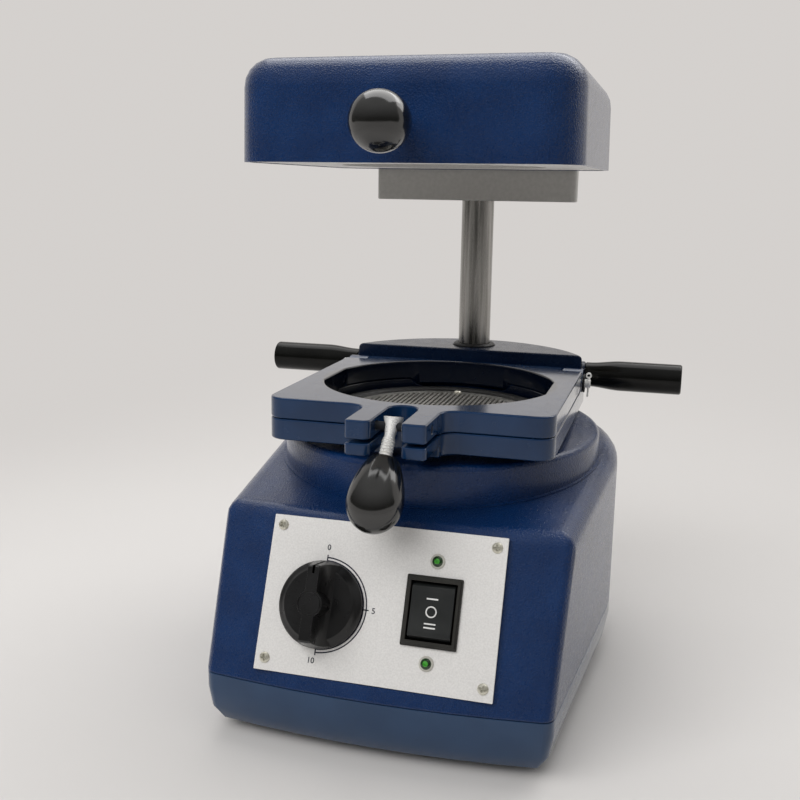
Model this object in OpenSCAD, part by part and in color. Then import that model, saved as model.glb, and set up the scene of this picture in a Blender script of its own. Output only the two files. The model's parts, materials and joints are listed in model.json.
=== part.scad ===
// Dental vacuum former: a base with a suction motor under a slotted table, a clamping frame
// that slides on a post, and a heater head that swings on the same post.
// Millimetres, +Z up, +X to the right and +Y to the rear, as a person in front of it sees it.
// The origin lies on the floor under the middle of the footprint.

/* [Base] */
// Width of the base across its front corners
base_front_w = 162; // [156:1:168]
// Radius of the rounded rear of the base
base_rear_r = 93.5; // [91:0.5:97]
// Distance from the table axis forward to the front corners of the base
base_front = 119; // [116:1:124]
// Distance from the table axis back to the centre of the rear round
rear_round_y = 24; // [22:1:27]
// Bulge of the front edge between its corners
front_crown = 5.2; // [3:0.2:7]
// Radius of the front corners
front_corner_r = 6; // [4:0.5:9]
// Height of the rubber feet under the tray
feet_h = 2.5; // [2:0.5:5]
// Radius of a rubber foot
foot_r = 9; // [7:0.5:11]
// Height of the lower tray
tray_h = 28.3; // [26:0.5:34]
// Height of the upright rim at the top of the tray
tray_rim_h = 8; // [5:0.5:12]
// How far the tray draws in from its rim to its floor
tray_tuck = 13; // [9:0.5:15]
// Wall thickness of the base mouldings
wall = 3; // [2.5:0.25:4]
// Height of the shadow groove at the seam
seam_gap = 0.5; // [0.3:0.1:0.8]

/* [Housing] */
// Rise from the seam to the front shoulder
front_h = 73.2; // [70:0.5:78]
// Lean of the front face from upright, in degrees
front_lean = 24; // [20:1:27]
// Rise of the top surface towards the rear, in degrees
top_rise = 6; // [4:0.5:7]
// Radius of the edges round the top surface
top_edge_r = 8; // [6:0.5:10]
// Radius of the round plinth
plinth_r = 84; // [81:0.5:85]
// Distance from the table axis back to the plinth axis
plinth_y = 9; // [6:1:11]
// Height of the plinth top at its axis
plinth_z = 128.3; // [127:0.1:129]
// Rise of the plinth top towards the rear, in degrees
plinth_rise = 1.7; // [1:0.1:1.8]
// Radius of the plinth's upper edge
plinth_edge_r = 3; // [1:0.5:4]

/* [Forming table] */
// Radius of the slotted plate
plate_r = 50; // [46:0.5:52]
// Thickness of the slotted plate
plate_t = 3; // [2:0.5:4]
// Height of the slotted plate's upper face
plate_z = 136.1; // [135.5:0.1:137]
// Width of one slot
slot_w = 1.1; // [0.8:0.1:1.4]
// Distance from slot to slot
slot_pitch = 2.6; // [2.4:0.1:4]
// Turn of the slots from the front to rear direction, in degrees
slot_turn = 0; // [-45:5:45]
// Plain rim left round the slots
plate_rim = 5; // [4:0.5:8]
// Outer radius of the rubber seal round the plate
seal_r = 59.4; // [57:0.2:60]
// How far the seal stands above the plate
seal_rise = 1.7; // [1:0.1:2.5]
// Radius of the suction port
port_r = 16; // [12:1:18]

/* [Control panel] */
// Width of the panel plate
panel_w = 110; // [106:1:116]
// Height of the panel plate along the slope
panel_h = 70.5; // [68:0.5:72]
// Thickness of the panel plate
panel_t = 1; // [0.8:0.1:1.5]
// Distance from the seam up the slope to the panel plate
panel_gap = 7.2; // [6:0.2:8]
// Depth of the flat land behind the crown of the front
land_depth = 0.9; // [0.6:0.1:1.2]
// Distance of the panel screws in from the plate's sides
screw_inset = 4.7; // [4:0.1:6]
// Distance of the timer axis left of the middle
timer_u = 26.8; // [24:0.2:29]
// Height of the timer axis on the plate
timer_v = 32; // [29:0.5:36]
// Radius of the timer knob's skirt
knob_skirt_r = 19.6; // [18:0.2:21]
// Height of the timer knob
knob_h = 17; // [14:0.5:19]
// Distance of the switch and the lamps right of the middle
switch_u = 24.4; // [22:0.2:27]
// Height of the switch's middle on the plate
switch_v = 34.8; // [33:0.2:37]
// Width of the switch's bezel
bezel_w = 25.4; // [24:0.2:27]
// Height of the switch's bezel
bezel_h = 31; // [29:0.5:32]
// Width of the rocker
rocker_w = 20.4; // [19:0.2:21]
// Radius of the rocker's rounded ends about its pivot
rocker_r = 12.6; // [11.5:0.1:12.8]
// Distance of each lamp from the switch's middle
lamp_step = 22.2; // [20:0.2:24]
// Radius of a lamp lens
lamp_r = 2.45; // [2:0.05:3]

/* [Post and carriage] */
// Diameter of the post
post_d = 19; // [16:0.5:20]
// Distance from the table axis back to the post
post_y = 91; // [89:0.5:93]
// Height of the post's upper end
post_top = 285.7; // [280:0.1:290]
// Radial running clearance of everything that slides or turns
run_gap = 0.05; // [0.02:0.01:0.1]
// Radial clearance of what is fixed in a moulded hole
seat_gap = 0.03; // [0.02:0.01:0.05]
// Outer radius of the slide bush
bush_r = 12.5; // [12:0.5:14]
// Height of the carriage's lower face in its lowest place
carriage_z = 131.1; // [130.9:0.1:131.5]
// Height of the carriage block
carriage_h = 26.8; // [25:0.2:30]
// Distance of the carriage's front corners in from the frame's sides
carriage_inset = 1.8; // [1:0.1:3]
// Distance from the centre of the carriage's rounded rear back to the post
carriage_arc = 50.5; // [48:0.5:53]
// Distance from the table axis back to the carriage's front face
carriage_front = 71; // [71:0.5:72]
// Height of the handles above the carriage's lower face
handle_rise = 14.8; // [13:0.2:16]
// Distance from the table axis back to the handles
handle_y = 79.2; // [78:0.2:82]
// Length of a handle
handle_l = 54.4; // [46:0.2:62]
// Distance of a handle's root in from the frame's sides
root_inset = 0.35; // [0:0.05:0.6]
// Radius of a handle's root
handle_root_r = 7; // [6:0.5:8]
// Radius of a handle's grip
handle_r = 8.6; // [7.5:0.1:9.5]

/* [Sheet frame] */
// Width of the frame plates
frame_w = 139.5; // [136:0.5:142]
// Distance from the table axis to the frame's front edge
frame_front = 69; // [67:0.5:71]
// Thickness of each frame plate
frame_t = 10.3; // [9.5:0.1:11]
// Gap between the closed plates
sheet_gap = 0.2; // [0.1:0.1:0.4]
// Radius of the frame's front corners
frame_corner_r = 9; // [6:0.5:12]
// Radius of the opening in the upper plate
opening_r = 60.5; // [60:0.1:62]
// Width across the flats of the upper opening
opening_flats = 116.4; // [114:0.2:120]
// Width of the clamp lug
lug_w = 37.4; // [34:0.2:40]
// Distance from the table axis to the lug's front face
lug_front = 102; // [98:0.5:105]
// Thickness of the upper lug
upper_lug_t = 8.8; // [8:0.1:9.5]
// Thickness of the lower lug
lower_lug_t = 5.5; // [4.5:0.1:6.5]
// Width of the slot in both lugs
lug_slot_w = 14.2; // [13.4:0.2:15]
// Distance from the table axis to the slot's round end
lug_slot_end = 65.4; // [65:0.2:67]
// Radius of the rounded mouth of the slot
lug_mouth_r = 3; // [3:0.5:4]
// Radius of the hinge nose at the upper plate's rear
nose_r = 8.2; // [7.8:0.1:8.4]
// Radius of the hinge pins
hinge_pin_r = 2.5; // [2:0.1:3]
// Width of each hinge ear of the lower plate
ear_w = 11.75; // [10:0.25:13]
// Gap between moving faces that pass each other
pass_gap = 0.3; // [0.25:0.05:0.4]

/* [Clamp] */
// Distance from the table axis to the swing bolt's pivot
pivot_y = 90; // [88:0.5:91]
// Radius of the pivot pin
pivot_pin_r = 2; // [1.5:0.1:2.2]
// Width of the swing bolt's eye
eye_w = 9; // [8:0.2:11]
// Forward lean of the loosened bolt, in degrees
bolt_lean = 42; // [41:1:46]
// Diameter of the bolt's shank
bolt_d = 6; // [5:0.5:6]
// Distance from the pivot to the clamp knob
knob_reach = 17.2; // [17.2:0.1:19]
// Length of an egg knob
egg_l = 34; // [30:0.5:38]
// Radius of an egg knob at its widest
egg_r = 12.5; // [11:0.5:14]
// Radius of an egg knob's flat end
egg_base_r = 7; // [6:0.25:7.25]
// Distance from the flat end to the widest place
egg_wide = 20; // [18:0.5:22]

/* [Heater head] */
// Height of the head's lower edge
head_z = 262; // [260:0.5:266]
// Height of the head
head_h = 45.5; // [42:0.5:50]
// Width of the head at its front
head_front_w = 155.4; // [150:0.2:160]
// Width of the head at its rear
head_rear_w = 155.4; // [152:0.2:162]
// Distance from the table axis to the head's front
head_front = 86; // [84:0.5:90]
// Distance from the table axis back to the head's rear
head_rear = 77; // [76:0.5:78]
// Radius of the head's corners in plan
head_corner_r = 19; // [15:0.5:22]
// Radius of the head's upper edges
head_edge_r = 13; // [9:0.5:15]
// Wall thickness of the head cover
head_wall = 2.5; // [2:0.25:3]
// How far the head's walls lean in towards its top
head_draft = 0.6; // [0.4:0.1:1]
// Radius of the heater's opening
heater_r = 51.5; // [48:0.5:54]
// Height of the head knob's axis above the head's lower edge
head_knob_rise = 15.5; // [14:0.5:20]
// Gap between the head's front and its knob
head_knob_gap = 8; // [6:0.5:10]
// Width of the head bracket
bracket_w = 117.6; // [110:0.2:124]
// Distance of the bracket's lower face under the head
bracket_drop = 17.5; // [14:0.5:20]
// Height of the head bracket
bracket_h = 53; // [48:0.5:56]
// Thickness of the bracket's plate
bracket_t = 13; // [10:0.5:15]
// Outer radius of the bracket's post socket
socket_r = 20; // [17:0.5:22]

/* [Hidden] */
$fn = 64;

knob_lift = panel_t + 0.5;
timer_reach = base_front + front_crown - (panel_gap + timer_v - knob_skirt_r + 3.6) * sin(front_lean)
    + (knob_lift + knob_h - land_depth) * cos(front_lean);
front_reach = max(timer_reach, head_front + head_knob_gap + egg_l);
rear_reach = rear_round_y + base_rear_r;
// How far the table axis lies behind the origin
table_y = (front_reach - rear_reach) / 2;
seam_z = feet_h + tray_h;
crown_front = base_front + front_crown;
side_spread = (base_rear_r - base_front_w / 2) / (base_front + rear_round_y);
shoulder_z = seam_z + front_h;
shoulder_y = base_front - front_h * tan(front_lean);
top_front = shoulder_y + top_edge_r * tan(front_lean) + top_edge_r * (1 - 1 / cos(front_lean));
post_r = post_d / 2;
post_foot = carriage_z - 30;
frame_z = carriage_z;
frame_split = frame_z + frame_t;
upper_z = frame_split + sheet_gap;
frame_top = upper_z + frame_t;
hinge_z = frame_top - nose_r;
hinge_y = carriage_front - 1 - nose_r;
hinge_reach = frame_w / 2 - ear_w;
pivot_z = frame_top - eye_w / 2;
ledge_z = plate_z - plate_t;
seal_z = ledge_z - 2;
handle_z = carriage_z + handle_rise;
bracket_z = head_z - bracket_drop;
head_knob_z = head_z + head_knob_rise;
rear_land = rear_round_y + base_rear_r - 5.5;
split_pin_out = 3;
fan_r = 50;
fan_z = 84;
fan_h = 30;
stud_r = 4;
thread_r = 2;
motor_bolt_circle = 57;
boss_inset = tray_tuck + 5;
foot_inset = boss_inset + foot_r + 7;
inlet_z = seam_z + 22;
fuse_z = seam_z + 52;
rocker_pivot_w = -3;
rocker_face_w = 3.6;
knob_boss_r = 5.8;
nut_r = post_r + 4.5;
carriage_arc_y = post_y - carriage_arc;
carriage_r = norm([frame_w / 2 - carriage_inset, carriage_front - carriage_arc_y]);
handle_root = frame_w / 2 - root_inset;
handle_end = handle_root + handle_l;
stud_in = 22.4;
tongue_w = frame_w - 40;
tongue_t = 6;
neck_r = bolt_d / 2 - 0.6;
neck_z = -7.4;
heater_pitch = 9;
heater_turns = 9;
heater_tube_r = 2;
heater_z = head_z + 6.2;
heater_ends = [half_turn_r(0) - heater_pitch / 4,
    heater_pitch / 4 - half_turn_r(heater_turns - 1) - heater_pitch / 2];

function top_z(y) = shoulder_z + (y + shoulder_y) * tan(top_rise);
function half_turn_r(k) = 8 + k * heater_pitch / 2;

// A rectangle with round corners, centred
module rounded_rect(w, d, r) {
    square([w - 2 * r, d], center = true);
    square([w, d - 2 * r], center = true);
    for (x = [-1, 1], y = [-1, 1])
        translate([x * (w / 2 - r), y * (d / 2 - r)]) circle(r);
}

// Points of an arc about a centre, in steps between two directions
function arc(c, r, from, to, steps) = [for (i = [0:steps])
    c + r * [cos(from + (to - from) * i / steps), sin(from + (to - from) * i / steps)]];

// Plan outline of the base with its front edge at a given distance, drawn in by d:
// a crowned front, two small corners and a large round at the rear
module base_plan(front, d) {
    r = max(front_corner_r - d, 1);
    half = base_front_w / 2 + side_spread * (base_front - front) - d;
    c = [half - r, r + d - front];
    side = atan2(c[1] - rear_round_y, c[0])
        + acos((base_rear_r - d - r) / norm([c[0], c[1] - rear_round_y]));
    polygon(concat(
        [for (i = [-4:4]) [i * c[0] / 4, d - front - front_crown * (1 - pow(i / 4, 2))]],
        arc(c, r, -80, side, 5),
        arc([0, rear_round_y], base_rear_r - d, side, 180 - side, 30),
        arc([-c[0], c[1]], r, 180 - side, 260, 5)));
}

// Moves its children from the lower edge of the panel plate's land onto the sloping front
module on_panel(u, v, w) {
    translate([0, -crown_front, seam_z]) rotate([90 - front_lean, 0, 0])
        translate([u, panel_gap + v, w - land_depth]) children();
}

// Solid form of the housing, drawn in by d
module housing_form(d) {
    hull() {
        translate([0, 0, seam_z]) linear_extrude(1) base_plan(base_front, d);
        for (a = [0:22.5:90])
            translate([0, -shoulder_y, shoulder_z - d - top_edge_r * (1 - sin(a))])
                rotate([top_rise, 0, 0]) translate([0, shoulder_y, 0]) linear_extrude(0.01)
                    base_plan(top_front, d + top_edge_r * (1 - cos(a)));
    }
}

// Solid form of the tray, drawn in by d, with its floor at a given height
module tray_form(d, floor_z, top) {
    bend_h = tray_h - tray_rim_h;
    hull() {
        translate([0, 0, seam_z - tray_rim_h])
            linear_extrude(tray_rim_h + top) base_plan(base_front, d);
        for (a = [30:30:90])
            translate([0, 0, max(floor_z, seam_z - tray_rim_h - bend_h * sin(a))])
                linear_extrude(0.01) base_plan(base_front, d + tray_tuck * (1 - cos(a)));
    }
}

// A pan-head screw with its seat at the origin and its shank down -Z
module pan_screw(head_r, shank_r, length) {
    rotate_extrude() polygon(concat(
        [[0, -length], [shank_r, -length], [shank_r, 0]],
        [for (a = [0:15:90]) [head_r * cos(a), head_r * 0.55 * sin(a)]]));
}

// A hexagon-socket cap screw with its seat at the origin and its shank down -Z
module cap_screw(shank_r, length) {
    difference() {
        union() {
            translate([0, 0, -length]) cylinder(r = shank_r, h = length);
            cylinder(r = shank_r * 1.7, h = shank_r * 1.6);
        }
        translate([0, 0, shank_r * 0.6]) cylinder(r = shank_r, h = shank_r * 2, $fn = 6);
    }
}

// Positions of the four rubber feet and of the case screws beside them
module at_front_corners(inset) {
    for (s = [-1, 1]) translate([s * (base_front_w / 2 - inset), inset - base_front, 0]) children();
}

module at_rear_corners(inset) {
    reach = base_rear_r - inset;
    for (s = [-1, 1]) translate([s * reach * 0.78, rear_round_y + reach * 0.62, 0]) children();
}

module at_corners(inset) {
    at_front_corners(inset) children();
    at_rear_corners(inset) children();
}

module lower_tray() color("midnightblue") difference() {
    union() {
        difference() {
            tray_form(0, feet_h, 0);
            tray_form(wall, feet_h + wall, 1);
        }
        at_corners(boss_inset) translate([0, 0, feet_h + 1]) cylinder(r = 5, h = tray_h - 7);
    }
    at_corners(boss_inset) {
        translate([0, 0, feet_h - 1]) cylinder(r = thread_r, h = tray_h);
        translate([0, 0, feet_h - 1]) cylinder(r = 4, h = 5);
    }
    at_corners(foot_inset) translate([0, 0, feet_h - 1]) cylinder(r = 3, h = wall + 2);
    translate([0, 0, seam_z - seam_gap]) linear_extrude(2 * seam_gap) difference() {
        base_plan(base_front, -1);
        base_plan(base_front, wall / 2);
    }
}

module rubber_feet() color([0.06, 0.06, 0.06]) at_corners(foot_inset) {
    rotate_extrude() polygon([[0, 0], [foot_r - 1, 0], [foot_r, 1], [foot_r, feet_h],
        [3, feet_h], [3, feet_h + wall], [4, feet_h + wall], [2.5, feet_h + wall + 3],
        [0, feet_h + wall + 3]]);
}

module case_screws() color("silver") at_corners(boss_inset)
    translate([0, 0, feet_h + 4]) mirror([0, 0, 1]) pan_screw(3.6, thread_r, tray_h + 10);

module upper_housing() color("midnightblue") difference() {
    union() {
        difference() {
            housing_form(0);
            housing_form(wall);
            translate([0, 0, seam_z - 1]) linear_extrude(2.5) base_plan(base_front, wall);
            plinth_hollow();
        }
        panel_land();
        plinth();
        rear_pad();
        post_boss();
        at_front_corners(boss_inset) translate([0, 0, seam_z - 4]) cylinder(r = 5, h = 33);
        at_rear_corners(boss_inset) translate([0, 0, seam_z - 4])
            cylinder(r = 5, h = top_z(rear_round_y + (base_rear_r - boss_inset) * 0.62) - seam_z + 2);
    }
    on_panel(0, panel_h / 2, 0) linear_extrude(6)
        square([panel_w + 2 * pass_gap, panel_h + 2 * pass_gap], center = true);
    panel_holes(-12, 14);
    for (s = [-1, 1], v = [screw_inset + 0.8, panel_h - screw_inset])
        on_panel(s * (panel_w / 2 - screw_inset), v, -9) cylinder(r = 1.4, h = 12);
    table_well();
    translate([0, post_y, seam_z]) cylinder(r = post_r + seat_gap, h = 120);
    translate([0, post_y, carriage_z - 0.5]) cylinder(r = 16, h = 5);
    rear_cuts();
    motor_pilot_holes();
    at_corners(boss_inset) translate([0, 0, seam_z - 5]) cylinder(r = thread_r, h = 21);
}

// Flat land behind the panel plate, sunk into the crowned front
module panel_land() {
    on_panel(0, panel_h / 2, -4) linear_extrude(4)
        square([panel_w - 2 * pass_gap, panel_h - 2 * pass_gap], center = true);
}

// Cut-outs for the timer, the switch and the lamps, from a depth up to a height
module panel_holes(from, length) {
    on_panel(-timer_u, timer_v, from) cylinder(r = 5, h = length);
    on_panel(switch_u, switch_v, from) linear_extrude(length)
        square([bezel_w - 3, bezel_h - 3], center = true);
    for (s = [-1, 1])
        on_panel(switch_u, switch_v + s * lamp_step, from) cylinder(r = lamp_r + 0.3, h = length);
}

// Round plinth with its rounded edge, its foot ledge, its hollow and the collar of the table
module plinth() {
    difference() {
        union() {
            intersection() {
                translate([0, plinth_y, plinth_z]) rotate([plinth_rise, 0, 0])
                    rotate_extrude() polygon(concat(
                        [[0, -45], [plinth_r, -45]],
                        [for (a = [0:15:90]) [plinth_r - plinth_edge_r * (1 - cos(a)),
                            -plinth_edge_r * (1 - sin(a))]],
                        [[0, 0]]));
                translate([0, 0, seam_z]) rotate([top_rise, 0, 0])
                    translate([0, 0, top_z(0) - seam_z - wall]) cylinder(r = 120, h = 60);
            }
            translate([0, plinth_y, top_z(plinth_y)]) rotate([top_rise, 0, 0])
                translate([0, 0, -wall]) cylinder(r = plinth_r + 1.5, h = wall + 0.8);
            translate([0, 0, plinth_z - 5]) cylinder(r = seal_r - pass_gap, h = seal_z - plinth_z + 5);
            translate([0, 0, plinth_z - 5]) cylinder(r = plate_r, h = ledge_z - plinth_z + 5);
        }
        plinth_hollow();
    }
    translate([0, 0, fan_z + fan_h + 2]) cylinder(r = plate_r, h = 12);
    for (a = [30, 150, 270]) rotate(a) translate([motor_bolt_circle, 0, fan_z + fan_h - 6])
        cylinder(r = 5, h = 16);
}

module plinth_hollow() {
    translate([0, plinth_y, plinth_z]) rotate([plinth_rise, 0, 0])
        translate([0, 0, -45]) cylinder(r = plinth_r - wall - 1, h = 40);
}

// Suction chamber under the slotted plate, with the port in its floor
module table_well() {
    translate([0, 0, fan_z + fan_h + 5]) cylinder(r = plate_r - plate_rim, h = 30);
    translate([0, 0, fan_z + fan_h]) cylinder(r = port_r, h = 20);
    table_screw_places() translate([0, 0, ledge_z - 8]) cylinder(r = 1.4, h = 9);
}

module table_screw_places() {
    for (a = [90, 210, 330]) rotate(a) translate([plate_r - plate_rim / 2, 0, 0]) children();
}

module motor_pilot_holes() {
    for (a = [30, 150, 270]) rotate(a) translate([motor_bolt_circle, 0, fan_z + fan_h - 7])
        cylinder(r = thread_r, h = 13);
}

module post_boss() {
    intersection() {
        translate([0, post_y, seam_z]) cylinder(r = 17, h = carriage_z - seam_z - 0.5);
        translate([0, post_y, carriage_z - 19]) cylinder(r = 18, h = 20);
    }
}

// Flat pad at the rear that carries the inlet and the fuse holder
module rear_pad() {
    translate([-30, rear_land - 5, seam_z + 4]) cube([60, 8, 62]);
}

// The rear flat, the inlet's cut-out, the fuse hole and the exhaust slots
module rear_cuts() {
    translate([-29, rear_land, seam_z + 5]) cube([58, 20, 60]);
    translate([-13.8, rear_land - 9, inlet_z - 10]) cube([27.6, 12, 20]);
    for (s = [-1, 1]) translate([s * 20, rear_land - 9, inlet_z]) rotate([-90, 0, 0])
        cylinder(r = 1.6, h = 12);
    translate([0, rear_land - 9, fuse_z]) rotate([-90, 0, 0]) cylinder(r = 6.2, h = 12);
    for (s = [-1, 1], i = [0:6]) translate([0, rear_round_y, seam_z + 12])
        rotate(90 + s * (24 + 5 * i)) translate([base_rear_r - 8, -1.5, 0]) cube([14, 3, 34]);
}

module control_panel() color([0.82, 0.82, 0.8]) difference() {
    on_panel(0, panel_h / 2, 0) linear_extrude(panel_t) rounded_rect(panel_w, panel_h, 0.4);
    panel_holes(-1, 4);
    for (s = [-1, 1], v = [screw_inset + 0.8, panel_h - screw_inset])
        on_panel(s * (panel_w / 2 - screw_inset), v, -1) cylinder(r = 1.6, h = 4);
}

module panel_screws() color("silver")
    for (s = [-1, 1], v = [screw_inset + 0.8, panel_h - screw_inset])
        on_panel(s * (panel_w / 2 - screw_inset), v, panel_t) pan_screw(2.5, 1.4, 7);

module timer_body() color([0.6, 0.6, 0.58]) on_panel(-timer_u, timer_v, 0) difference() {
    union() {
        translate([0, 0, -27]) linear_extrude(22) rounded_rect(40, 40, 4);
        translate([0, 0, -31]) cylinder(r = 17, h = 4);
        translate([0, 0, -5.2]) cylinder(r = 4.6, h = 5);
    }
    translate([0, 0, -12]) cylinder(r = 3 + run_gap, h = 14);
}

module timer_shaft() color("silver") on_panel(-timer_u, timer_v, -11)
    cylinder(r = 3, h = 11 + panel_t + knob_h - 5);

// Skirted knob with a narrow grip across it, a round boss in its middle and an index groove
module timer_knob() color([0.05, 0.05, 0.05]) on_panel(-timer_u, timer_v, knob_lift)
    difference() {
        union() {
            rotate_extrude() polygon([[0, 0], [knob_skirt_r, 0], [knob_skirt_r, 1.8],
                [knob_skirt_r - 0.6, 2.5], [knob_skirt_r - 2.2, 3.4], [knob_skirt_r - 3.6, 4.6],
                [knob_skirt_r - 4.6, 4.6], [0, 4.2]]);
            intersection() {
                rotate_extrude() polygon([[0, 1], [knob_skirt_r - 0.2, 1],
                    [knob_skirt_r - 0.2, 2.2], [knob_skirt_r - 2.8, knob_h - 0.8],
                    [knob_skirt_r - 3.6, knob_h], [0, knob_h]]);
                rotate([90, 0, 0]) linear_extrude(2 * knob_skirt_r, center = true)
                    grip_section();
            }
            translate([0, 0, 3]) cylinder(r = knob_boss_r, h = knob_h - 3);
        }
        translate([0, 0, -1]) cylinder(r = 3, h = knob_h - 4.5);
        translate([0, 0, knob_h - 0.3]) difference() {
            cylinder(r = knob_boss_r - 0.5, h = 1);
            translate([0, 0, -1]) cylinder(r = knob_boss_r - 0.9, h = 3);
        }
        translate([0, knob_skirt_r - 2, knob_h - 6]) cube([0.9, 9, 15], center = true);
    }

// Section of the grip: upright near its top, flaring out towards the skirt
module grip_section() {
    flank = [for (t = [0:0.125:1]) [2.7 + 4.8 * pow(1 - t, 3), 3 + (knob_h - 3) * t]];
    polygon(concat([[-7.5, 1], [7.5, 1]], flank, [for (i = [8:-1:0]) [-flank[i][0], flank[i][1]]]));
}

module switch_housing() color([0.09, 0.09, 0.09]) on_panel(switch_u, switch_v, 0) difference() {
    union() {
        translate([0, 0, -18]) linear_extrude(18 + panel_t)
            square([bezel_w - 3.2, bezel_h - 3.2], center = true);
        translate([0, 0, panel_t]) linear_extrude(1.2) rounded_rect(bezel_w, bezel_h, 0.6);
        translate([0, 0, panel_t + 1.2]) linear_extrude(0.8)
            rounded_rect(bezel_w - 1.6, bezel_h - 1.6, 0.6);
        for (s = [-1, 1], t = [-1, 1]) translate([s * 6, t * 6, -25]) linear_extrude(8)
            square([0.8, 4.8], center = true);
    }
    translate([0, 0, -10.5]) linear_extrude(21)
        square([rocker_w + 2 * pass_gap, 2 * (rocker_r + pass_gap)], center = true);
    translate([0, 0, rocker_pivot_w]) rotate([0, 90, 0])
        cylinder(r = 1.5 + run_gap, h = rocker_w + 1.4, center = true);
}

module rocker_button() color([0.1, 0.1, 0.1]) on_panel(switch_u, switch_v, 0) {
    difference() {
        intersection() {
            translate([0, 0, rocker_pivot_w]) rotate([0, 90, 0])
                cylinder(r = rocker_r, h = rocker_w, center = true);
            translate([0, 0, (rocker_face_w - 8) / 2])
                cube([rocker_w, 2 * rocker_r - 1.5, rocker_face_w + 8], center = true);
        }
        for (s = [-1, 1]) rotate([s * 2.5, 0, 0])
            translate([-rocker_w, s > 0 ? 0 : -20, rocker_face_w - 0.6]) cube([2 * rocker_w, 20, 5]);
    }
    translate([0, 0, rocker_pivot_w]) rotate([0, 90, 0])
        cylinder(r = 1.5, h = rocker_w + 1, center = true);
}

module lamp_bezels() color([0.75, 0.72, 0.62]) for (s = [-1, 1])
    on_panel(switch_u, switch_v + s * lamp_step, panel_t) rotate_extrude()
        polygon([[lamp_r, 0], [lamp_r + 0.95, 0], [lamp_r + 0.85, 0.45], [lamp_r + 0.4, 0.7],
            [lamp_r, 0.7]]);

module lamp_lens(s) {
    on_panel(switch_u, switch_v + s * lamp_step, panel_t) rotate_extrude() polygon(concat(
        [[0, -6], [lamp_r, -6]],
        [for (a = [0:15:90]) [lamp_r * cos(a), 0.6 + 1.5 * sin(a)]]));
}

module heating_lamp() color([0.05, 0.45, 0.1]) lamp_lens(1);

module vacuum_lamp() color([0.05, 0.45, 0.1]) lamp_lens(-1);

// Casing of the suction fan, with exhaust windows and three fixing ears
module fan_housing() color([0.55, 0.55, 0.57]) translate([0, 0, fan_z]) difference() {
    union() {
        cylinder(r = fan_r, h = fan_h);
        for (a = [30, 150, 270]) rotate(a) {
            translate([motor_bolt_circle, 0, fan_h - 10]) cylinder(r = 5, h = 4);
            translate([fan_r - 2, -5, fan_h - 10]) cube([motor_bolt_circle - fan_r + 2, 10, 4]);
        }
    }
    translate([0, 0, wall]) cylinder(r = fan_r - wall, h = fan_h - 2 * wall);
    translate([0, 0, fan_h - wall - 1]) cylinder(r = port_r, h = wall + 2);
    translate([0, 0, -1]) cylinder(r = 7, h = wall + 2);
    for (a = [0:45:315]) rotate(a + 7) translate([fan_r - wall - 2, -9, 8]) cube([8, 18, 8]);
    for (a = [30, 150, 270]) rotate(a) translate([motor_bolt_circle, 0, fan_h - 11])
        cylinder(r = thread_r, h = 6);
}

module motor_screws() color("silver") for (a = [30, 150, 270]) rotate(a)
    translate([motor_bolt_circle, 0, fan_z + fan_h - 10]) mirror([0, 0, 1])
        pan_screw(3.6, thread_r, 14);

module motor_body() color([0.35, 0.36, 0.38]) difference() {
    union() {
        translate([0, 0, fan_z - 40]) cylinder(r = 33, h = 38);
        translate([0, 0, fan_z - 2]) cylinder(r = 26, h = 2);
        translate([0, 0, fan_z - 46]) cylinder(r = 14, h = 6);
        for (a = [0:30:330]) rotate(a) translate([32, -1.5, fan_z - 34]) cube([3, 3, 26]);
    }
    translate([0, 0, fan_z - 44]) cylinder(r = 4 + run_gap, h = 50);
}

// Backward-curved blades on a hub and a back disc
module impeller() color("lightgray") translate([0, 0, fan_z]) difference() {
    union() {
        translate([0, 0, wall + 2]) cylinder(r = fan_r - 7, h = 2);
        translate([0, 0, wall + 2]) cylinder(r = 9, h = 18);
        for (a = [0:40:320]) rotate(a) translate([26, 8, wall + 3]) intersection() {
            difference() {
                cylinder(r = 20, h = 15);
                translate([0, 0, -1]) cylinder(r = 18.4, h = 17);
            }
            translate([-16, -21, 0]) cube([28, 17, 15]);
        }
    }
    translate([0, 0, wall]) cylinder(r = 4, h = 30);
}

module motor_shaft() color("silver") translate([0, 0, fan_z - 43]) cylinder(r = 4, h = 70);

module suction_seal() color([0.08, 0.08, 0.08]) translate([0, 0, fan_z + fan_h]) difference() {
    cylinder(r = port_r + 8, h = 2);
    translate([0, 0, -1]) cylinder(r = port_r, h = 4);
}

// Perforated plate: parallel slots inside a plain rim
module forming_table() color("lightgray") translate([0, 0, ledge_z]) difference() {
    linear_extrude(plate_t) difference() {
        circle(plate_r - 0.2);
        slots = floor((plate_r - plate_rim) / slot_pitch - 0.5);
        for (i = [-slots:slots]) rotate(slot_turn) translate([i * slot_pitch, 0])
            square([slot_w, 2 * sqrt(pow(plate_r - plate_rim, 2) - pow(i * slot_pitch, 2))],
                center = true);
    }
    table_screw_places() translate([0, 0, -1]) cylinder(r = 1.6, h = plate_t + 2);
}

module table_screws() color("silver") table_screw_places()
    translate([0, 0, plate_z]) pan_screw(2.4, 1.4, 9);

module table_seal() color([0.05, 0.05, 0.05]) rotate_extrude() {
    mid = (plate_r + seal_r) / 2 + 0.2;
    half = (seal_r - plate_r) / 2 - 0.2;
    polygon(concat(
        [[mid - half, seal_z], [mid + half, seal_z]],
        [for (a = [0:20:180]) [mid + half * cos(a), plate_z - 1.4 + (seal_rise + 1.4) * sin(a)]]));
}

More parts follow.
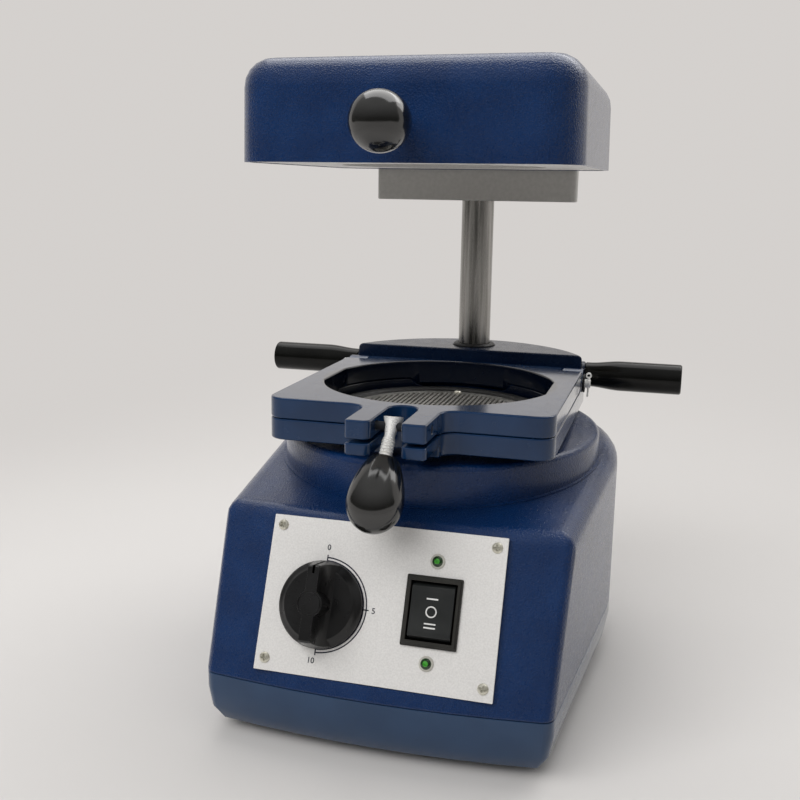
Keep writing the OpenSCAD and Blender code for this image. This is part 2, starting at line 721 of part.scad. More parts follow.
// Appliance inlet with three blades in its recess
module power_inlet() color([0.07, 0.07, 0.07]) translate([0, rear_land, inlet_z])
    rotate([90, 0, 180]) difference() {
        union() {
            translate([0, 0, -18]) linear_extrude(18) rounded_rect(27.2, 19.6, 2);
            linear_extrude(2) rounded_rect(48, 22.4, 4);
        }
        difference() {
            translate([0, 0, -15]) linear_extrude(20) polygon([[-12, -8], [12, -8], [12, 3.5],
                [7.5, 8], [-7.5, 8], [-12, 3.5]]);
            for (x = [-7, 0, 7]) translate([x, x == 0 ? 2.5 : -2.5, -11])
                cube([2, 4, 10], center = true);
        }
        for (s = [-1, 1]) translate([s * 20, 0, -1]) cylinder(r = 1.6, h = 4);
    }

module fuse_holder() color([0.07, 0.07, 0.07]) translate([0, rear_land, fuse_z])
    rotate([90, 0, 180]) {
        translate([0, 0, -22]) cylinder(r = 6, h = 22);
        cylinder(r = 8, h = 1.6);
        difference() {
            cylinder(r = 6.6, h = 4.6);
            translate([-1, -4.5, 3.4]) cube([2, 9, 2]);
        }
    }

module post() color([0.62, 0.62, 0.62]) translate([0, post_y, post_foot])
    cylinder(r = post_r, h = post_top - post_foot);

module post_nut() color("silver") translate([0, post_y, carriage_z - 27]) difference() {
    union() {
        cylinder(r = nut_r + 0.5, h = 6, $fn = 6);
        translate([0, 0, 6]) cylinder(r = nut_r, h = 2);
    }
    translate([0, 0, -1]) cylinder(r = post_r, h = 10);
}

module stop_washer() color([0.85, 0.85, 0.8]) translate([0, post_y, carriage_z - 0.5])
    difference() {
        cylinder(r = 15, h = 0.4);
        translate([0, 0, -1]) cylinder(r = post_r, h = 3);
    }

// Half-round block that runs on the post and carries the handles and the lower plate
module carriage() color([0.05, 0.09, 0.2]) difference() {
    union() {
        intersection() {
            translate([0, carriage_arc_y, carriage_z]) rotate_extrude() polygon(concat(
                [[0, 0]],
                [for (a = [0:22.5:90]) [carriage_r - 2.5 * (1 - sin(a)), 2.5 * (1 - cos(a))]],
                [for (a = [0:22.5:90]) [carriage_r - 2.5 * (1 - cos(a)),
                    carriage_h - 2.5 * (1 - sin(a))]],
                [[0, carriage_h]]));
            translate([-frame_w, carriage_front, carriage_z - 1])
                cube([2 * frame_w, carriage_r, carriage_h + 2]);
        }
        for (s = [-1, 1]) translate([s * (handle_root - 13), handle_y, handle_z])
            rotate([0, s * 90, 0]) cylinder(r = handle_root_r + 0.4, h = 12.8);
    }
    translate([0, post_y, carriage_z - 1]) cylinder(r = bush_r, h = carriage_h + 2);
    translate([-tongue_w / 2 - pass_gap, carriage_front - 1, carriage_z - 1])
        cube([tongue_w + 2 * pass_gap, 12, tongue_t + 1]);
    for (s = [-1, 1]) {
        translate([s * (handle_root - stud_in - 1), handle_y, handle_z]) rotate([0, s * 90, 0])
            cylinder(r = stud_r, h = stud_in + 8);
        translate([s * 36, carriage_front + 6, carriage_z - 1]) cylinder(r = thread_r, h = 19);
    }
}

module slide_bush() color([0.7, 0.55, 0.25]) translate([0, post_y, carriage_z + 0.2])
    difference() {
        cylinder(r = bush_r, h = carriage_h - 1.4);
        translate([0, 0, -1]) cylinder(r = post_r + run_gap, h = carriage_h + 2);
    }

module post_wiper() color([0.05, 0.05, 0.05]) translate([0, post_y, carriage_z + carriage_h - 1.2])
    rotate_extrude() polygon([[post_r + pass_gap, 0], [bush_r, 0], [bush_r, 1.8],
        [bush_r - 0.8, 2.7], [post_r + pass_gap, 2.7]]);

// Turned handle along +X from its root to its round end
module handle() {
    grip = handle_end - handle_root;
    difference() {
        rotate([0, 90, 0]) rotate_extrude() polygon(concat(
            [[0, 0], [handle_root_r, 0]],
            [for (t = [0:0.125:1]) [handle_root_r + (handle_r - handle_root_r) * (1 - cos(180 * t)) / 2,
                2 + (grip * 0.38 - 2) * t]],
            [for (a = [0:15:90]) [handle_r - 5 * (1 - cos(a)), grip - 5 * (1 - sin(a))]],
            [[0, grip]]));
        rotate([0, 90, 0]) translate([0, 0, -1]) cylinder(r = stud_r, h = 24);
    }
}

module right_handle() color([0.04, 0.04, 0.04])
    translate([handle_root, handle_y, handle_z]) handle();

module left_handle() color([0.04, 0.04, 0.04]) mirror([1, 0, 0])
    translate([handle_root, handle_y, handle_z]) handle();

module handle_studs() color("silver") for (s = [-1, 1])
    translate([s * (handle_root - stud_in), handle_y, handle_z]) rotate([0, s * 90, 0])
        cylinder(r = stud_r, h = stud_in + 20);

// Outline of a frame plate with its clamp lug, ending at a given distance behind the table axis
module frame_outline(rear) {
    c = frame_corner_r;
    translate([-frame_w / 2, c - frame_front]) square([frame_w, rear + frame_front - c]);
    translate([c - frame_w / 2, -frame_front]) square([frame_w - 2 * c, c + 1]);
    for (s = [-1, 1]) {
        translate([s * (frame_w / 2 - c), c - frame_front]) circle(c);
        translate([s * (lug_w / 2 - 2), 2 - lug_front]) circle(2);
        difference() {
            translate([s * (lug_w / 2 + 3.9), -frame_front - 3.9]) square(8.2, center = true);
            translate([s * (lug_w / 2 + 8), -frame_front - 8]) circle(8);
        }
    }
    translate([-lug_w / 2, 2 - lug_front]) square([lug_w, lug_front - frame_front]);
    translate([2 - lug_w / 2, -lug_front]) square([lug_w - 4, 4]);
}

module lug_slot() {
    translate([0, -lug_slot_end - lug_slot_w / 2]) circle(lug_slot_w / 2);
    translate([-lug_slot_w / 2, -lug_front - 5])
        square([lug_slot_w, lug_front + 5 - lug_slot_end - lug_slot_w / 2]);
    for (s = [-1, 1]) difference() {
        translate([s * lug_slot_w / 2 - lug_mouth_r, -lug_front - 1])
            square([2 * lug_mouth_r, lug_mouth_r + 1]);
        translate([s * (lug_slot_w / 2 + lug_mouth_r), lug_mouth_r - lug_front])
            circle(lug_mouth_r);
    }
}

// Places along the hinge axis, on the right with s = 1 and on the left with s = -1
module on_hinge(s, x) {
    translate([s * x, hinge_y, hinge_z]) rotate([0, s * 90, 0]) children();
}

module upper_frame_plate() color([0.07, 0.13, 0.32]) difference() {
    union() {
        translate([0, 0, upper_z]) linear_extrude(frame_t) frame_outline(hinge_y);
        on_hinge(1, pass_gap - hinge_reach)
            cylinder(r = nose_r, h = 2 * (hinge_reach - pass_gap));
    }
    translate([0, 0, frame_z]) linear_extrude(40) {
        intersection() {
            circle(opening_r);
            square([opening_flats, 3 * opening_r], center = true);
        }
        lug_slot();
    }
    translate([-lug_w, -lug_front - 1, upper_z - 1])
        cube([2 * lug_w, lug_front - frame_front - 7, frame_t - upper_lug_t + 1]);
    translate([0, -pivot_y, pivot_z]) rotate([0, 90, 0])
        cylinder(r = pivot_pin_r, h = lug_w + 2, center = true);
    translate([-24, hinge_y - nose_r - 1, hinge_z - nose_r - 1])
        cube([48, 2 * nose_r + 2, nose_r - 4.2]);
    for (s = [-1, 1]) {
        on_hinge(s, hinge_reach - 14) cylinder(r = hinge_pin_r, h = 20);
        translate([s > 0 ? hinge_reach - pass_gap : -frame_w, hinge_y - nose_r - 0.4, frame_z])
            cube([frame_w - hinge_reach + pass_gap, 40, 40]);
    }
}

module lower_frame_plate() color([0.07, 0.13, 0.32]) difference() {
    union() {
        translate([0, 0, frame_z]) linear_extrude(frame_t) frame_outline(carriage_front - 0.6);
        for (s = [-1, 1]) {
            on_hinge(s, hinge_reach) cylinder(r = nose_r, h = ear_w);
            translate([s > 0 ? hinge_reach : -frame_w / 2, hinge_y - nose_r, frame_z + 2])
                cube([ear_w, 2 * nose_r, hinge_z - frame_z - 2]);
        }
        translate([-tongue_w / 2, hinge_y, frame_z])
            cube([tongue_w, carriage_front - hinge_y + 10.5, tongue_t - pass_gap]);
    }
    translate([0, 0, frame_z - 1]) linear_extrude(40) {
        circle(seal_r + 1.6);
        lug_slot();
    }
    translate([-lug_w, -lug_front - 1, frame_z - 1])
        cube([2 * lug_w, lug_front - frame_front - 7, frame_t - lower_lug_t + 1]);
    on_hinge(1, 0.1 - hinge_reach) cylinder(r = nose_r + 0.4, h = 2 * hinge_reach - 0.2);
    for (s = [-1, 1]) {
        on_hinge(s, hinge_reach - 1) cylinder(r = hinge_pin_r + run_gap, h = ear_w + 2);
        translate([s * 36, carriage_front + 6, frame_z - 1]) cylinder(r = thread_r, h = 12);
    }
    translate([0, post_y, frame_z - 1]) cylinder(r = bush_r + pass_gap, h = tongue_t + 2);
}

module frame_screws() color("silver") for (s = [-1, 1])
    translate([s * 36, carriage_front + 6, carriage_z]) mirror([0, 0, 1]) {
        translate([0, 0, -16]) cylinder(r = thread_r, h = 16);
    }

module hinge_pins() color("silver") for (s = [-1, 1]) difference() {
    on_hinge(s, hinge_reach - 14) cylinder(r = hinge_pin_r, h = 14 + ear_w + 4.2);
    translate([s * (frame_w / 2 + split_pin_out), hinge_y, hinge_z]) cylinder(r = 0.8, h = 10, center = true);
}

module hinge_washers() color([0.1, 0.1, 0.1]) for (s = [-1, 1])
    on_hinge(s, frame_w / 2 + 0.2) difference() {
        cylinder(r = 5.2, h = 0.9);
        translate([0, 0, -1]) cylinder(r = hinge_pin_r, h = 4);
    }

// Split pins: an eye above, a shank through the pin and two spread legs below
module split_pins() color("silver") for (s = [-1, 1])
    translate([s * (frame_w / 2 + split_pin_out), hinge_y, hinge_z]) {
        translate([0, 0, -hinge_pin_r - 0.4]) cylinder(r = 0.8, h = 2 * hinge_pin_r + 1.2);
        translate([0, 0, hinge_pin_r + 2]) rotate([90, 0, 20]) rotate_extrude()
            translate([1.3, 0]) circle(0.5, $fn = 24);
        for (t = [-1, 1]) translate([0, 0, -hinge_pin_r - 0.2]) rotate([t * 22, 0, 0])
            translate([0, 0, -5]) cylinder(r = 0.5, h = 5);
    }

module bolt_pivot_pin() color("silver") translate([0, -pivot_y, pivot_z]) rotate([0, 90, 0])
    cylinder(r = pivot_pin_r, h = lug_w - 1, center = true);

// Turns its children from hanging under the pivot to the lean of the loosened bolt
module on_bolt() {
    translate([0, -pivot_y, pivot_z]) rotate([-bolt_lean, 0, 0]) children();
}

// Bolt with a flared eye that narrows to a neck above the threaded shank
module swing_bolt() color("silver") on_bolt() difference() {
    union() {
        intersection() {
            union() {
                rotate([0, 90, 0]) cylinder(r = eye_w / 2, h = 2 * eye_w, center = true);
                translate([-eye_w, -eye_w / 2, neck_z - 1])
                    cube([2 * eye_w, eye_w, -neck_z + 1]);
            }
            rotate_extrude() polygon(concat(
                [[0, neck_z - 1], [neck_r, neck_z - 1]],
                [for (t = [0:0.125:1]) [neck_r + (eye_w / 2 + 0.15 - neck_r) * pow(t, 1.6),
                    neck_z + (eye_w / 2 - neck_z) * t]],
                [[0, eye_w / 2]]));
        }
        rotate_extrude() polygon([[0, -knob_reach - 16], [bolt_d / 2 - 0.8, -knob_reach - 16],
            [bolt_d / 2, -knob_reach - 15.2], [bolt_d / 2, neck_z - 1.2], [neck_r, neck_z - 0.6],
            [0, neck_z - 0.6]]);
    }
    rotate([0, 90, 0]) cylinder(r = pivot_pin_r + run_gap, h = eye_w + 2, center = true);
}

// Egg-shaped knob with its flat end at the origin, pointing down -Z, and a hole for a stud
module egg_knob(hole_r, hole_depth) {
    difference() {
        rotate_extrude() polygon(concat(
            [[0, 0], [egg_base_r - 0.6, 0], [egg_base_r, -0.6]],
            [for (t = [0.125:0.125:1]) [egg_base_r + (egg_r - egg_base_r) * sin(90 * t),
                -egg_wide * t]],
            [for (a = [15:15:90]) [egg_r * cos(a), -egg_wide - (egg_l - egg_wide) * sin(a)]]));
        translate([0, 0, -hole_depth]) cylinder(r = hole_r, h = hole_depth + 1);
    }
}

module clamp_knob() color([0.02, 0.02, 0.02]) on_bolt() translate([0, 0, -knob_reach]) difference() {
    egg_knob(bolt_d / 2 + 0.4, 20);
    translate([0, 0, -12]) cylinder(r = 5, h = 13);
}

module knob_insert() color("goldenrod") on_bolt() translate([0, 0, -knob_reach - 12]) difference() {
    cylinder(r = 5, h = 12);
    translate([0, 0, -1]) cylinder(r = bolt_d / 2 + run_gap, h = 14);
}

// Plan outline of the head, drawn in by d
module head_plan(d) {
    r = head_corner_r - d;
    front = [head_front_w / 2 - head_corner_r, head_corner_r - head_front];
    rear = [head_rear_w / 2 - head_corner_r, head_rear - head_corner_r];
    polygon(concat(
        arc([-front[0], front[1]], r, 180, 270, 9),
        arc(front, r, 270, 360, 9),
        arc(rear, r, 0, 90, 9),
        arc([-rear[0], rear[1]], r, 90, 180, 9)));
}

module head_form(d) {
    hull() {
        translate([0, 0, head_z - (d > 0 ? 1 : 0)]) linear_extrude(1) head_plan(d);
        for (a = [0:18:90])
            translate([0, 0, head_z + head_h - d - (head_edge_r - d) * (1 - sin(a)) - 0.01])
                linear_extrude(0.01) head_plan(d + head_draft + (head_edge_r - d) * (1 - cos(a)));
    }
}

module head_cover() color("midnightblue") difference() {
    union() {
        difference() {
            head_form(0);
            head_form(head_wall);
        }
        head_screw_places() translate([0, 0, head_z + 2.4]) cylinder(r = 5, h = head_h - 4);
    }
    head_screw_places() translate([0, 0, head_z + 2]) cylinder(r = 1.6, h = 16);
    translate([0, -head_front - 1, head_knob_z]) rotate([-90, 0, 0]) cylinder(r = stud_r, h = 12);
    bracket_screw_places() translate([0, 0, -10]) cylinder(r = 2.5, h = 20);
}

module head_screw_places() {
    for (x = [-1, 1]) {
        translate([x * (head_front_w / 2 - 16), 16 - head_front, 0]) children();
        translate([x * (head_rear_w / 2 - 16), head_rear - 16, 0]) children();
    }
}

module head_plate() color([0.75, 0.75, 0.73]) translate([0, 0, head_z + 0.3]) difference() {
    linear_extrude(2) head_plan(head_wall + pass_gap);
    translate([0, 0, -1]) cylinder(r = heater_r, h = 4);
    head_screw_places() {
        translate([0, 0, -1]) cylinder(r = 1.7, h = 4);
        cylinder(r1 = 3.2, r2 = 1.7, h = 1.5);
    }
}

// Countersunk screws that lie flush with the underside plate
module head_screws() color("silver") head_screw_places() translate([0, 0, head_z + 0.3])
    difference() {
        union() {
            cylinder(r1 = 3.1, r2 = 1.6, h = 1.5);
            cylinder(r = 1.6, h = 14);
        }
        for (a = [0, 90]) rotate(a) cube([3.2, 0.6, 1.6], center = true);
    }

// Pressed reflector pan over the heater's opening
module reflector() color("lightgray") translate([0, 0, head_z + 2.3]) difference() {
    rotate_extrude() polygon([[heater_r + 0.4, 0], [heater_r + 12, 0], [heater_r + 12, 1.2],
        [heater_r + 1.6, 1.2], [heater_r + 1.6, 18.2], [0, 18.2], [0, 17], [heater_r + 0.4, 17]]);
    for (x = heater_ends) translate([x, 0, 10]) cylinder(r = 2.4, h = 12);
}

module heater_ceramic() color([0.9, 0.88, 0.82]) translate([0, 0, head_z + 8.4]) difference() {
    union() {
        cylinder(r = heater_r - 2, h = 7.6);
        for (a = [45, 165, 285]) rotate(a) translate([34, 0, 7]) cylinder(r = 4, h = 3.9);
    }
    for (x = heater_ends) translate([x, 0, -1]) cylinder(r = 2, h = 10);
}

// Tubular element: half turns of growing radius joined end to end, with an upright at each end
module heater_element() color([0.35, 0.3, 0.28]) translate([-heater_pitch / 4, 0, heater_z]) {
    for (k = [0:heater_turns - 1])
        translate([k % 2 == 0 ? 0 : heater_pitch / 2, 0, 0]) rotate(k % 2 == 0 ? 0 : 180)
            rotate_extrude(angle = 180) translate([half_turn_r(k), 0]) circle(heater_tube_r, $fn = 24);
    translate([half_turn_r(0), 0, 0]) cylinder(r = 1.5, h = 20);
    translate([-half_turn_r(heater_turns - 1), 0, 0]) cylinder(r = 1.5, h = 20);
}

module terminal_block() color([0.85, 0.83, 0.75]) translate([-22, 0, head_z + 20.6]) difference() {
    linear_extrude(10) rounded_rect(34, 16, 2);
    for (x = [-10, 0, 10]) translate([x, 0, 5]) cylinder(r = 2.6, h = 6);
}

// Cast bracket: a plate behind the head that swells into the socket of the post
module head_bracket() color([0.62, 0.63, 0.64]) difference() {
    union() {
        translate([0, 0, bracket_z]) linear_extrude(bracket_h) {
            translate([0, head_rear + bracket_t / 2]) rounded_rect(bracket_w, bracket_t, 3);
            intersection() {
                translate([0, post_y]) circle(socket_r);
                translate([-50, head_rear]) square(100);
            }
            polygon([[-bracket_w / 3, head_rear + bracket_t - 1], [bracket_w / 3, head_rear + bracket_t - 1],
                [socket_r * 0.7, post_y + socket_r * 0.7], [-socket_r * 0.7, post_y + socket_r * 0.7]]);
        }
    }
    translate([0, post_y, bracket_z - 1]) cylinder(r = post_r + run_gap, h = post_top - bracket_z + 1.3);
    bracket_screw_places() translate([0, 0, -1]) cylinder(r = 2.5, h = 11);
    translate([0, post_y, bracket_z + 14]) rotate([-90, 0, 0]) cylinder(r = 3, h = 30);
}

module bracket_screw_places() {
    for (x = [-1, 1], z = [12, 28])
        translate([x * (bracket_w / 2 - 14), head_rear, head_z + z]) rotate([-90, 0, 0]) children();
}

module bracket_screws() color("silver") bracket_screw_places()
    translate([0, 0, -head_wall - head_draft]) mirror([0, 0, 1]) cap_screw(2.5, 11);

module friction_screw() color([0.2, 0.2, 0.2])
    translate([0, post_y + post_r + 0.4, bracket_z + 14]) rotate([-90, 0, 0]) difference() {
        cylinder(r = 3, h = socket_r - post_r - 1);
        translate([0, 0, socket_r - post_r - 4]) cylinder(r = 1.6, h = 4, $fn = 6);
    }

module head_knob() color([0.02, 0.02, 0.02])
    translate([0, -head_front - head_knob_gap, head_knob_z]) rotate([90, 0, 0]) mirror([0, 0, 1])
        egg_knob(stud_r, 18);

module head_knob_stud() color("silver") {
    inside = head_knob_gap + 17 + head_wall + head_draft;
    translate([0, -head_front - head_knob_gap - 17, head_knob_z]) rotate([-90, 0, 0]) {
        cylinder(r = stud_r, h = inside);
        translate([0, 0, inside]) cylinder(r = 7, h = 4, $fn = 6);
    }
}

module placed() {
    translate([0, table_y, 0]) children();
}

placed() lower_tray();
placed() rubber_feet();
placed() case_screws();
placed() upper_housing();
placed() control_panel();
placed() panel_screws();
placed() timer_body();
placed() timer_shaft();
placed() timer_knob();
placed() switch_housing();
placed() rocker_button();
placed() lamp_bezels();
placed() heating_lamp();
placed() vacuum_lamp();
placed() fan_housing();
placed() motor_body();
placed() motor_screws();
placed() impeller();
placed() motor_shaft();
placed() suction_seal();
placed() forming_table();
placed() table_seal();
placed() table_screws();
placed() power_inlet();
placed() fuse_holder();
placed() post();
placed() post_nut();
placed() stop_washer();
placed() carriage();
placed() slide_bush();
placed() post_wiper();
placed() left_handle();
placed() right_handle();
placed() handle_studs();
placed() lower_frame_plate();
placed() frame_screws();
placed() hinge_pins();
placed() hinge_washers();
placed() split_pins();
placed() upper_frame_plate();
placed() bolt_pivot_pin();
placed() swing_bolt();
placed() clamp_knob();
placed() knob_insert();
placed() head_cover();
placed() head_plate();
placed() head_screws();
placed() reflector();
placed() heater_ceramic();
placed() heater_element();
placed() terminal_block();
placed() head_bracket();
placed() bracket_screws();
placed() friction_screw();
placed() head_knob();
placed() head_knob_stud();
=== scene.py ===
import json
import math
import bpy
from mathutils import Matrix, Vector

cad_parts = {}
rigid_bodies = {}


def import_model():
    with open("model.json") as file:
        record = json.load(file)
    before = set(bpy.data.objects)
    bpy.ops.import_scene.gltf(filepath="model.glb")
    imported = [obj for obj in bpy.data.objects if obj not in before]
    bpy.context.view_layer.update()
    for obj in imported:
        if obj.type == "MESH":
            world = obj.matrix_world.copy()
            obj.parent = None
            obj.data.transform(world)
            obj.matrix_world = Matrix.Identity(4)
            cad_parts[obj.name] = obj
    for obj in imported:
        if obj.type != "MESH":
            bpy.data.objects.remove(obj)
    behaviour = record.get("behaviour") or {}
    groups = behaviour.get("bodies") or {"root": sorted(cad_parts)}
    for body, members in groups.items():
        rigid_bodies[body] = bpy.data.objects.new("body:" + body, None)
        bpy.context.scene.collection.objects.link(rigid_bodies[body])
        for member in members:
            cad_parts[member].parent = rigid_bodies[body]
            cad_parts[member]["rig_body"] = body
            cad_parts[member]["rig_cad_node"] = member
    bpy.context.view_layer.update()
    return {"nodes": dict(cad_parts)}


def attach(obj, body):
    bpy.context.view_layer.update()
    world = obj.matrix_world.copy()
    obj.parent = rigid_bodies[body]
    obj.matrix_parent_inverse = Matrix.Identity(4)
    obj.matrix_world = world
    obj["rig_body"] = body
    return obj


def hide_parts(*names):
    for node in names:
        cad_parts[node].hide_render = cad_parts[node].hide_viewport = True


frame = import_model()
nodes = frame["nodes"]
bodyOf = {n: o["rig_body"] for n, o in nodes.items()}
bpy.ops.object.select_all(action="DESELECT")
mm = 0.001
weld = 0.000002                 # points closer than this become one

place = {
    "tableY": 6.67106 * mm,     # table axis behind the origin
    "seamZ": 30.8 * mm,         # top of the lower tray
    "frontY": -124.2 * mm,      # middle of the crowned front, from the table axis
    "frontLean": 24,            # degrees back from upright
    "panelUp": 7.2 * mm,        # seam to the panel plate, up the slope
    "landDepth": 0.9 * mm,      # the panel plate's seat below the slope
    "panelThick": 1.0 * mm,
    "pivot": (0, -90 * mm, 147.4 * mm),     # swing bolt's pin, from the table axis
    "boltLean": 42,             # degrees forward at rest
}


def panelPlace():
    lean = math.radians(place["frontLean"])
    across = Vector((1, 0, 0))
    up = Vector((0, math.sin(lean), math.cos(lean)))
    out = Vector((0, -math.cos(lean), math.sin(lean)))
    corner = Vector((0, place["frontY"] + place["tableY"], place["seamZ"]))
    corner += up * place["panelUp"] - out * place["landDepth"]
    m = Matrix((across, up, out)).transposed().to_4x4()
    m.translation = corner
    return m


def boltPlace():
    lean = math.radians(place["boltLean"])
    m = Matrix.Rotation(-lean, 4, "X")
    m.translation = Vector(place["pivot"]) + Vector((0, place["tableY"], 0))
    return m


# materials
def newMaterial(name):
    m = bpy.data.materials.new(name)
    m.use_nodes = True
    tree = m.node_tree
    shader = next(n for n in tree.nodes if n.type == "BSDF_PRINCIPLED")
    return m, tree, shader


def patternSpace(tree, stretch=(1, 1, 1)):
    spot = tree.nodes.new("ShaderNodeTexCoord")
    fit = tree.nodes.new("ShaderNodeMapping")
    fit.inputs["Scale"].default_value = stretch
    tree.links.new(spot.outputs["Object"], fit.inputs["Vector"])
    return fit.outputs["Vector"]


def cloudy(tree, space, scale, detail=3.0):
    n = tree.nodes.new("ShaderNodeTexNoise")
    n.inputs["Scale"].default_value = scale
    n.inputs["Detail"].default_value = detail
    tree.links.new(space, n.inputs["Vector"])
    return n.outputs["Fac"]


def cells(tree, space, scale, smooth=0.4):
    n = tree.nodes.new("ShaderNodeTexVoronoi")
    n.feature = "SMOOTH_F1"
    n.inputs["Scale"].default_value = scale
    n.inputs["Smoothness"].default_value = smooth
    tree.links.new(space, n.inputs["Vector"])
    return n.outputs["Distance"]


def blendColours(tree, factor, a, b, low=0.35, high=0.65):
    ramp = tree.nodes.new("ShaderNodeValToRGB")
    ramp.color_ramp.elements[0].position = low
    ramp.color_ramp.elements[1].position = high
    ramp.color_ramp.elements[0].color = (*a, 1)
    ramp.color_ramp.elements[1].color = (*b, 1)
    tree.links.new(factor, ramp.inputs["Fac"])
    return ramp.outputs["Color"]


def spread(tree, factor, low, high):
    n = tree.nodes.new("ShaderNodeMapRange")
    n.inputs["From Min"].default_value = 0.3    # noise seldom leaves 0.3 to 0.7
    n.inputs["From Max"].default_value = 0.7
    n.inputs["To Min"].default_value = low
    n.inputs["To Max"].default_value = high
    tree.links.new(factor, n.inputs["Value"])
    return n.outputs["Result"]


def relief(tree, shader, height, strength, distance, before=None):
    n = tree.nodes.new("ShaderNodeBump")
    n.inputs["Strength"].default_value = strength
    n.inputs["Distance"].default_value = distance
    tree.links.new(height, n.inputs["Height"])
    if before is not None:
        tree.links.new(before, n.inputs["Normal"])
    tree.links.new(n.outputs["Normal"], shader.inputs["Normal"])
    return n.outputs["Normal"]


def joinNumbers(tree, operation, a, b):
    n = tree.nodes.new("ShaderNodeMath")
    n.operation = operation
    tree.links.new(a, n.inputs[0])
    tree.links.new(b, n.inputs[1])
    return n.outputs["Value"]


def baseLook(tree, shader, space, s, patch, roughPatch):
    colour = blendColours(tree, cloudy(tree, space, patch), s["deep"], s["light"])
    tree.links.new(colour, shader.inputs["Base Color"])
    rough = spread(tree, cloudy(tree, space, roughPatch), *s["rough"])
    tree.links.new(rough, shader.inputs["Roughness"])
    return colour


def lacquer(shader, ior, weight, rough):
    shader.inputs["IOR"].default_value = ior
    shader.inputs["Coat Weight"].default_value = weight
    shader.inputs["Coat IOR"].default_value = ior
    shader.inputs["Coat Roughness"].default_value = rough


# leather-grain paint of the housing and the head
grainPaint = {
    "deep": (0.0008, 0.0175, 0.076), "light": (0.0018, 0.0235, 0.096), "rough": (0.26, 0.36),
    "patch": 60, "roughPatch": 500,     # scale of the colour and gloss patches
    "warp": 0.0005, "warpScale": 900,   # bends the cells of the grain
    "cellScale": 1250, "cellDepth": 0.0005, "cellStrength": 0.75,
    "fineScale": 3200, "fineDepth": 0.00006, "fineStrength": 0.4,
    "ior": 1.34, "coat": 0.8, "coatRough": 0.22,
}


def makeGrainPaint(name):
    s = grainPaint
    m, tree, shader = newMaterial(name)
    space = patternSpace(tree)
    baseLook(tree, shader, space, s, s["patch"], s["roughPatch"])
    wobble = tree.nodes.new("ShaderNodeTexNoise")
    wobble.inputs["Scale"].default_value = s["warpScale"]
    tree.links.new(space, wobble.inputs["Vector"])
    warp = tree.nodes.new("ShaderNodeVectorMath")
    warp.operation = "MULTIPLY_ADD"
    warp.inputs[1].default_value = (s["warp"],) * 3
    tree.links.new(wobble.outputs["Color"], warp.inputs[0])
    tree.links.new(space, warp.inputs[2])
    grain = cells(tree, warp.outputs["Vector"], s["cellScale"])
    first = relief(tree, shader, grain, s["cellStrength"], s["cellDepth"])
    fine = cloudy(tree, space, s["fineScale"], 4)
    relief(tree, shader, fine, s["fineStrength"], s["fineDepth"], first)
    lacquer(shader, s["ior"], s["coat"], s["coatRough"])
    return m


# smooth paints; the frame's paint has painted shade on the wall of its opening
smoothPaint = {
    "tray": {"deep": (0.014, 0.04, 0.094), "light": (0.018, 0.048, 0.11),
             "rough": (0.34, 0.42), "peel": 0.00002, "coat": 1.0},
    "frame": {"deep": (0.003, 0.021, 0.066), "light": (0.005, 0.028, 0.084),
              "rough": (0.2, 0.28), "peel": 0.00003, "coat": 1.0,
              # painted shade: the wall of the frame's opening is coloured darker within this reach of the
              # table's axis
              "inside": (61.3 * mm, 62.3 * mm), "insideColour": (0.0008, 0.0035, 0.012)},
    "carriage": {"deep": (0.0018, 0.0075, 0.026), "light": (0.0034, 0.0115, 0.035),
                 "rough": (0.22, 0.32), "peel": 0.00002, "coat": 0.3},
}
paintFilm = {
    "patch": 45, "roughPatch": 160,
    "broadScale": 260, "broadStrength": 0.5, "broadDepth": 3,   # depth in peels
    "fineScale": 1500, "fineStrength": 0.35,
    "ior": 1.32, "coatRough": 0.12,
}


# paints shade: the colour darkens within the reach of the table's axis, on the wall of the frame's opening
def paintOpeningShade(tree, colour, reach, dark):
    spot = tree.nodes.new("ShaderNodeTexCoord")
    flat = tree.nodes.new("ShaderNodeMapping")
    flat.inputs["Location"].default_value = (0, -place["tableY"], 0)
    flat.inputs["Scale"].default_value = (1, 1, 0)
    tree.links.new(spot.outputs["Object"], flat.inputs["Vector"])
    away = tree.nodes.new("ShaderNodeVectorMath")
    away.operation = "LENGTH"
    tree.links.new(flat.outputs["Vector"], away.inputs[0])
    fade = tree.nodes.new("ShaderNodeMapRange")
    fade.inputs["From Min"].default_value = reach[0]
    fade.inputs["From Max"].default_value = reach[1]
    tree.links.new(away.outputs["Value"], fade.inputs["Value"])
    mix = tree.nodes.new("ShaderNodeMix")
    mix.data_type = "RGBA"
    tree.links.new(fade.outputs["Result"], mix.inputs["Factor"])
    mix.inputs[6].default_value = (*dark, 1)    # colour A, the painted shade near the axis
    tree.links.new(colour, mix.inputs[7])       # colour B, the paint's own colour further out
    return mix.outputs[2]


def makeSmoothPaint(kind):
    s = smoothPaint[kind]
    film = paintFilm
    m, tree, shader = newMaterial(kind + "Paint")
    space = patternSpace(tree)
    colour = baseLook(tree, shader, space, s, film["patch"], film["roughPatch"])
    # painted shade on the wall of the frame's opening
    if "inside" in s:
        colour = paintOpeningShade(tree, colour, s["inside"], s["insideColour"])
        tree.links.new(colour, shader.inputs["Base Color"])
    broad = cloudy(tree, space, film["broadScale"], 2)
    first = relief(tree, shader, broad, film["broadStrength"], s["peel"] * film["broadDepth"])
    fine = cloudy(tree, space, film["fineScale"])
    relief(tree, shader, fine, film["fineStrength"], s["peel"], first)
    lacquer(shader, film["ior"], s["coat"], film["coatRough"])
    return m


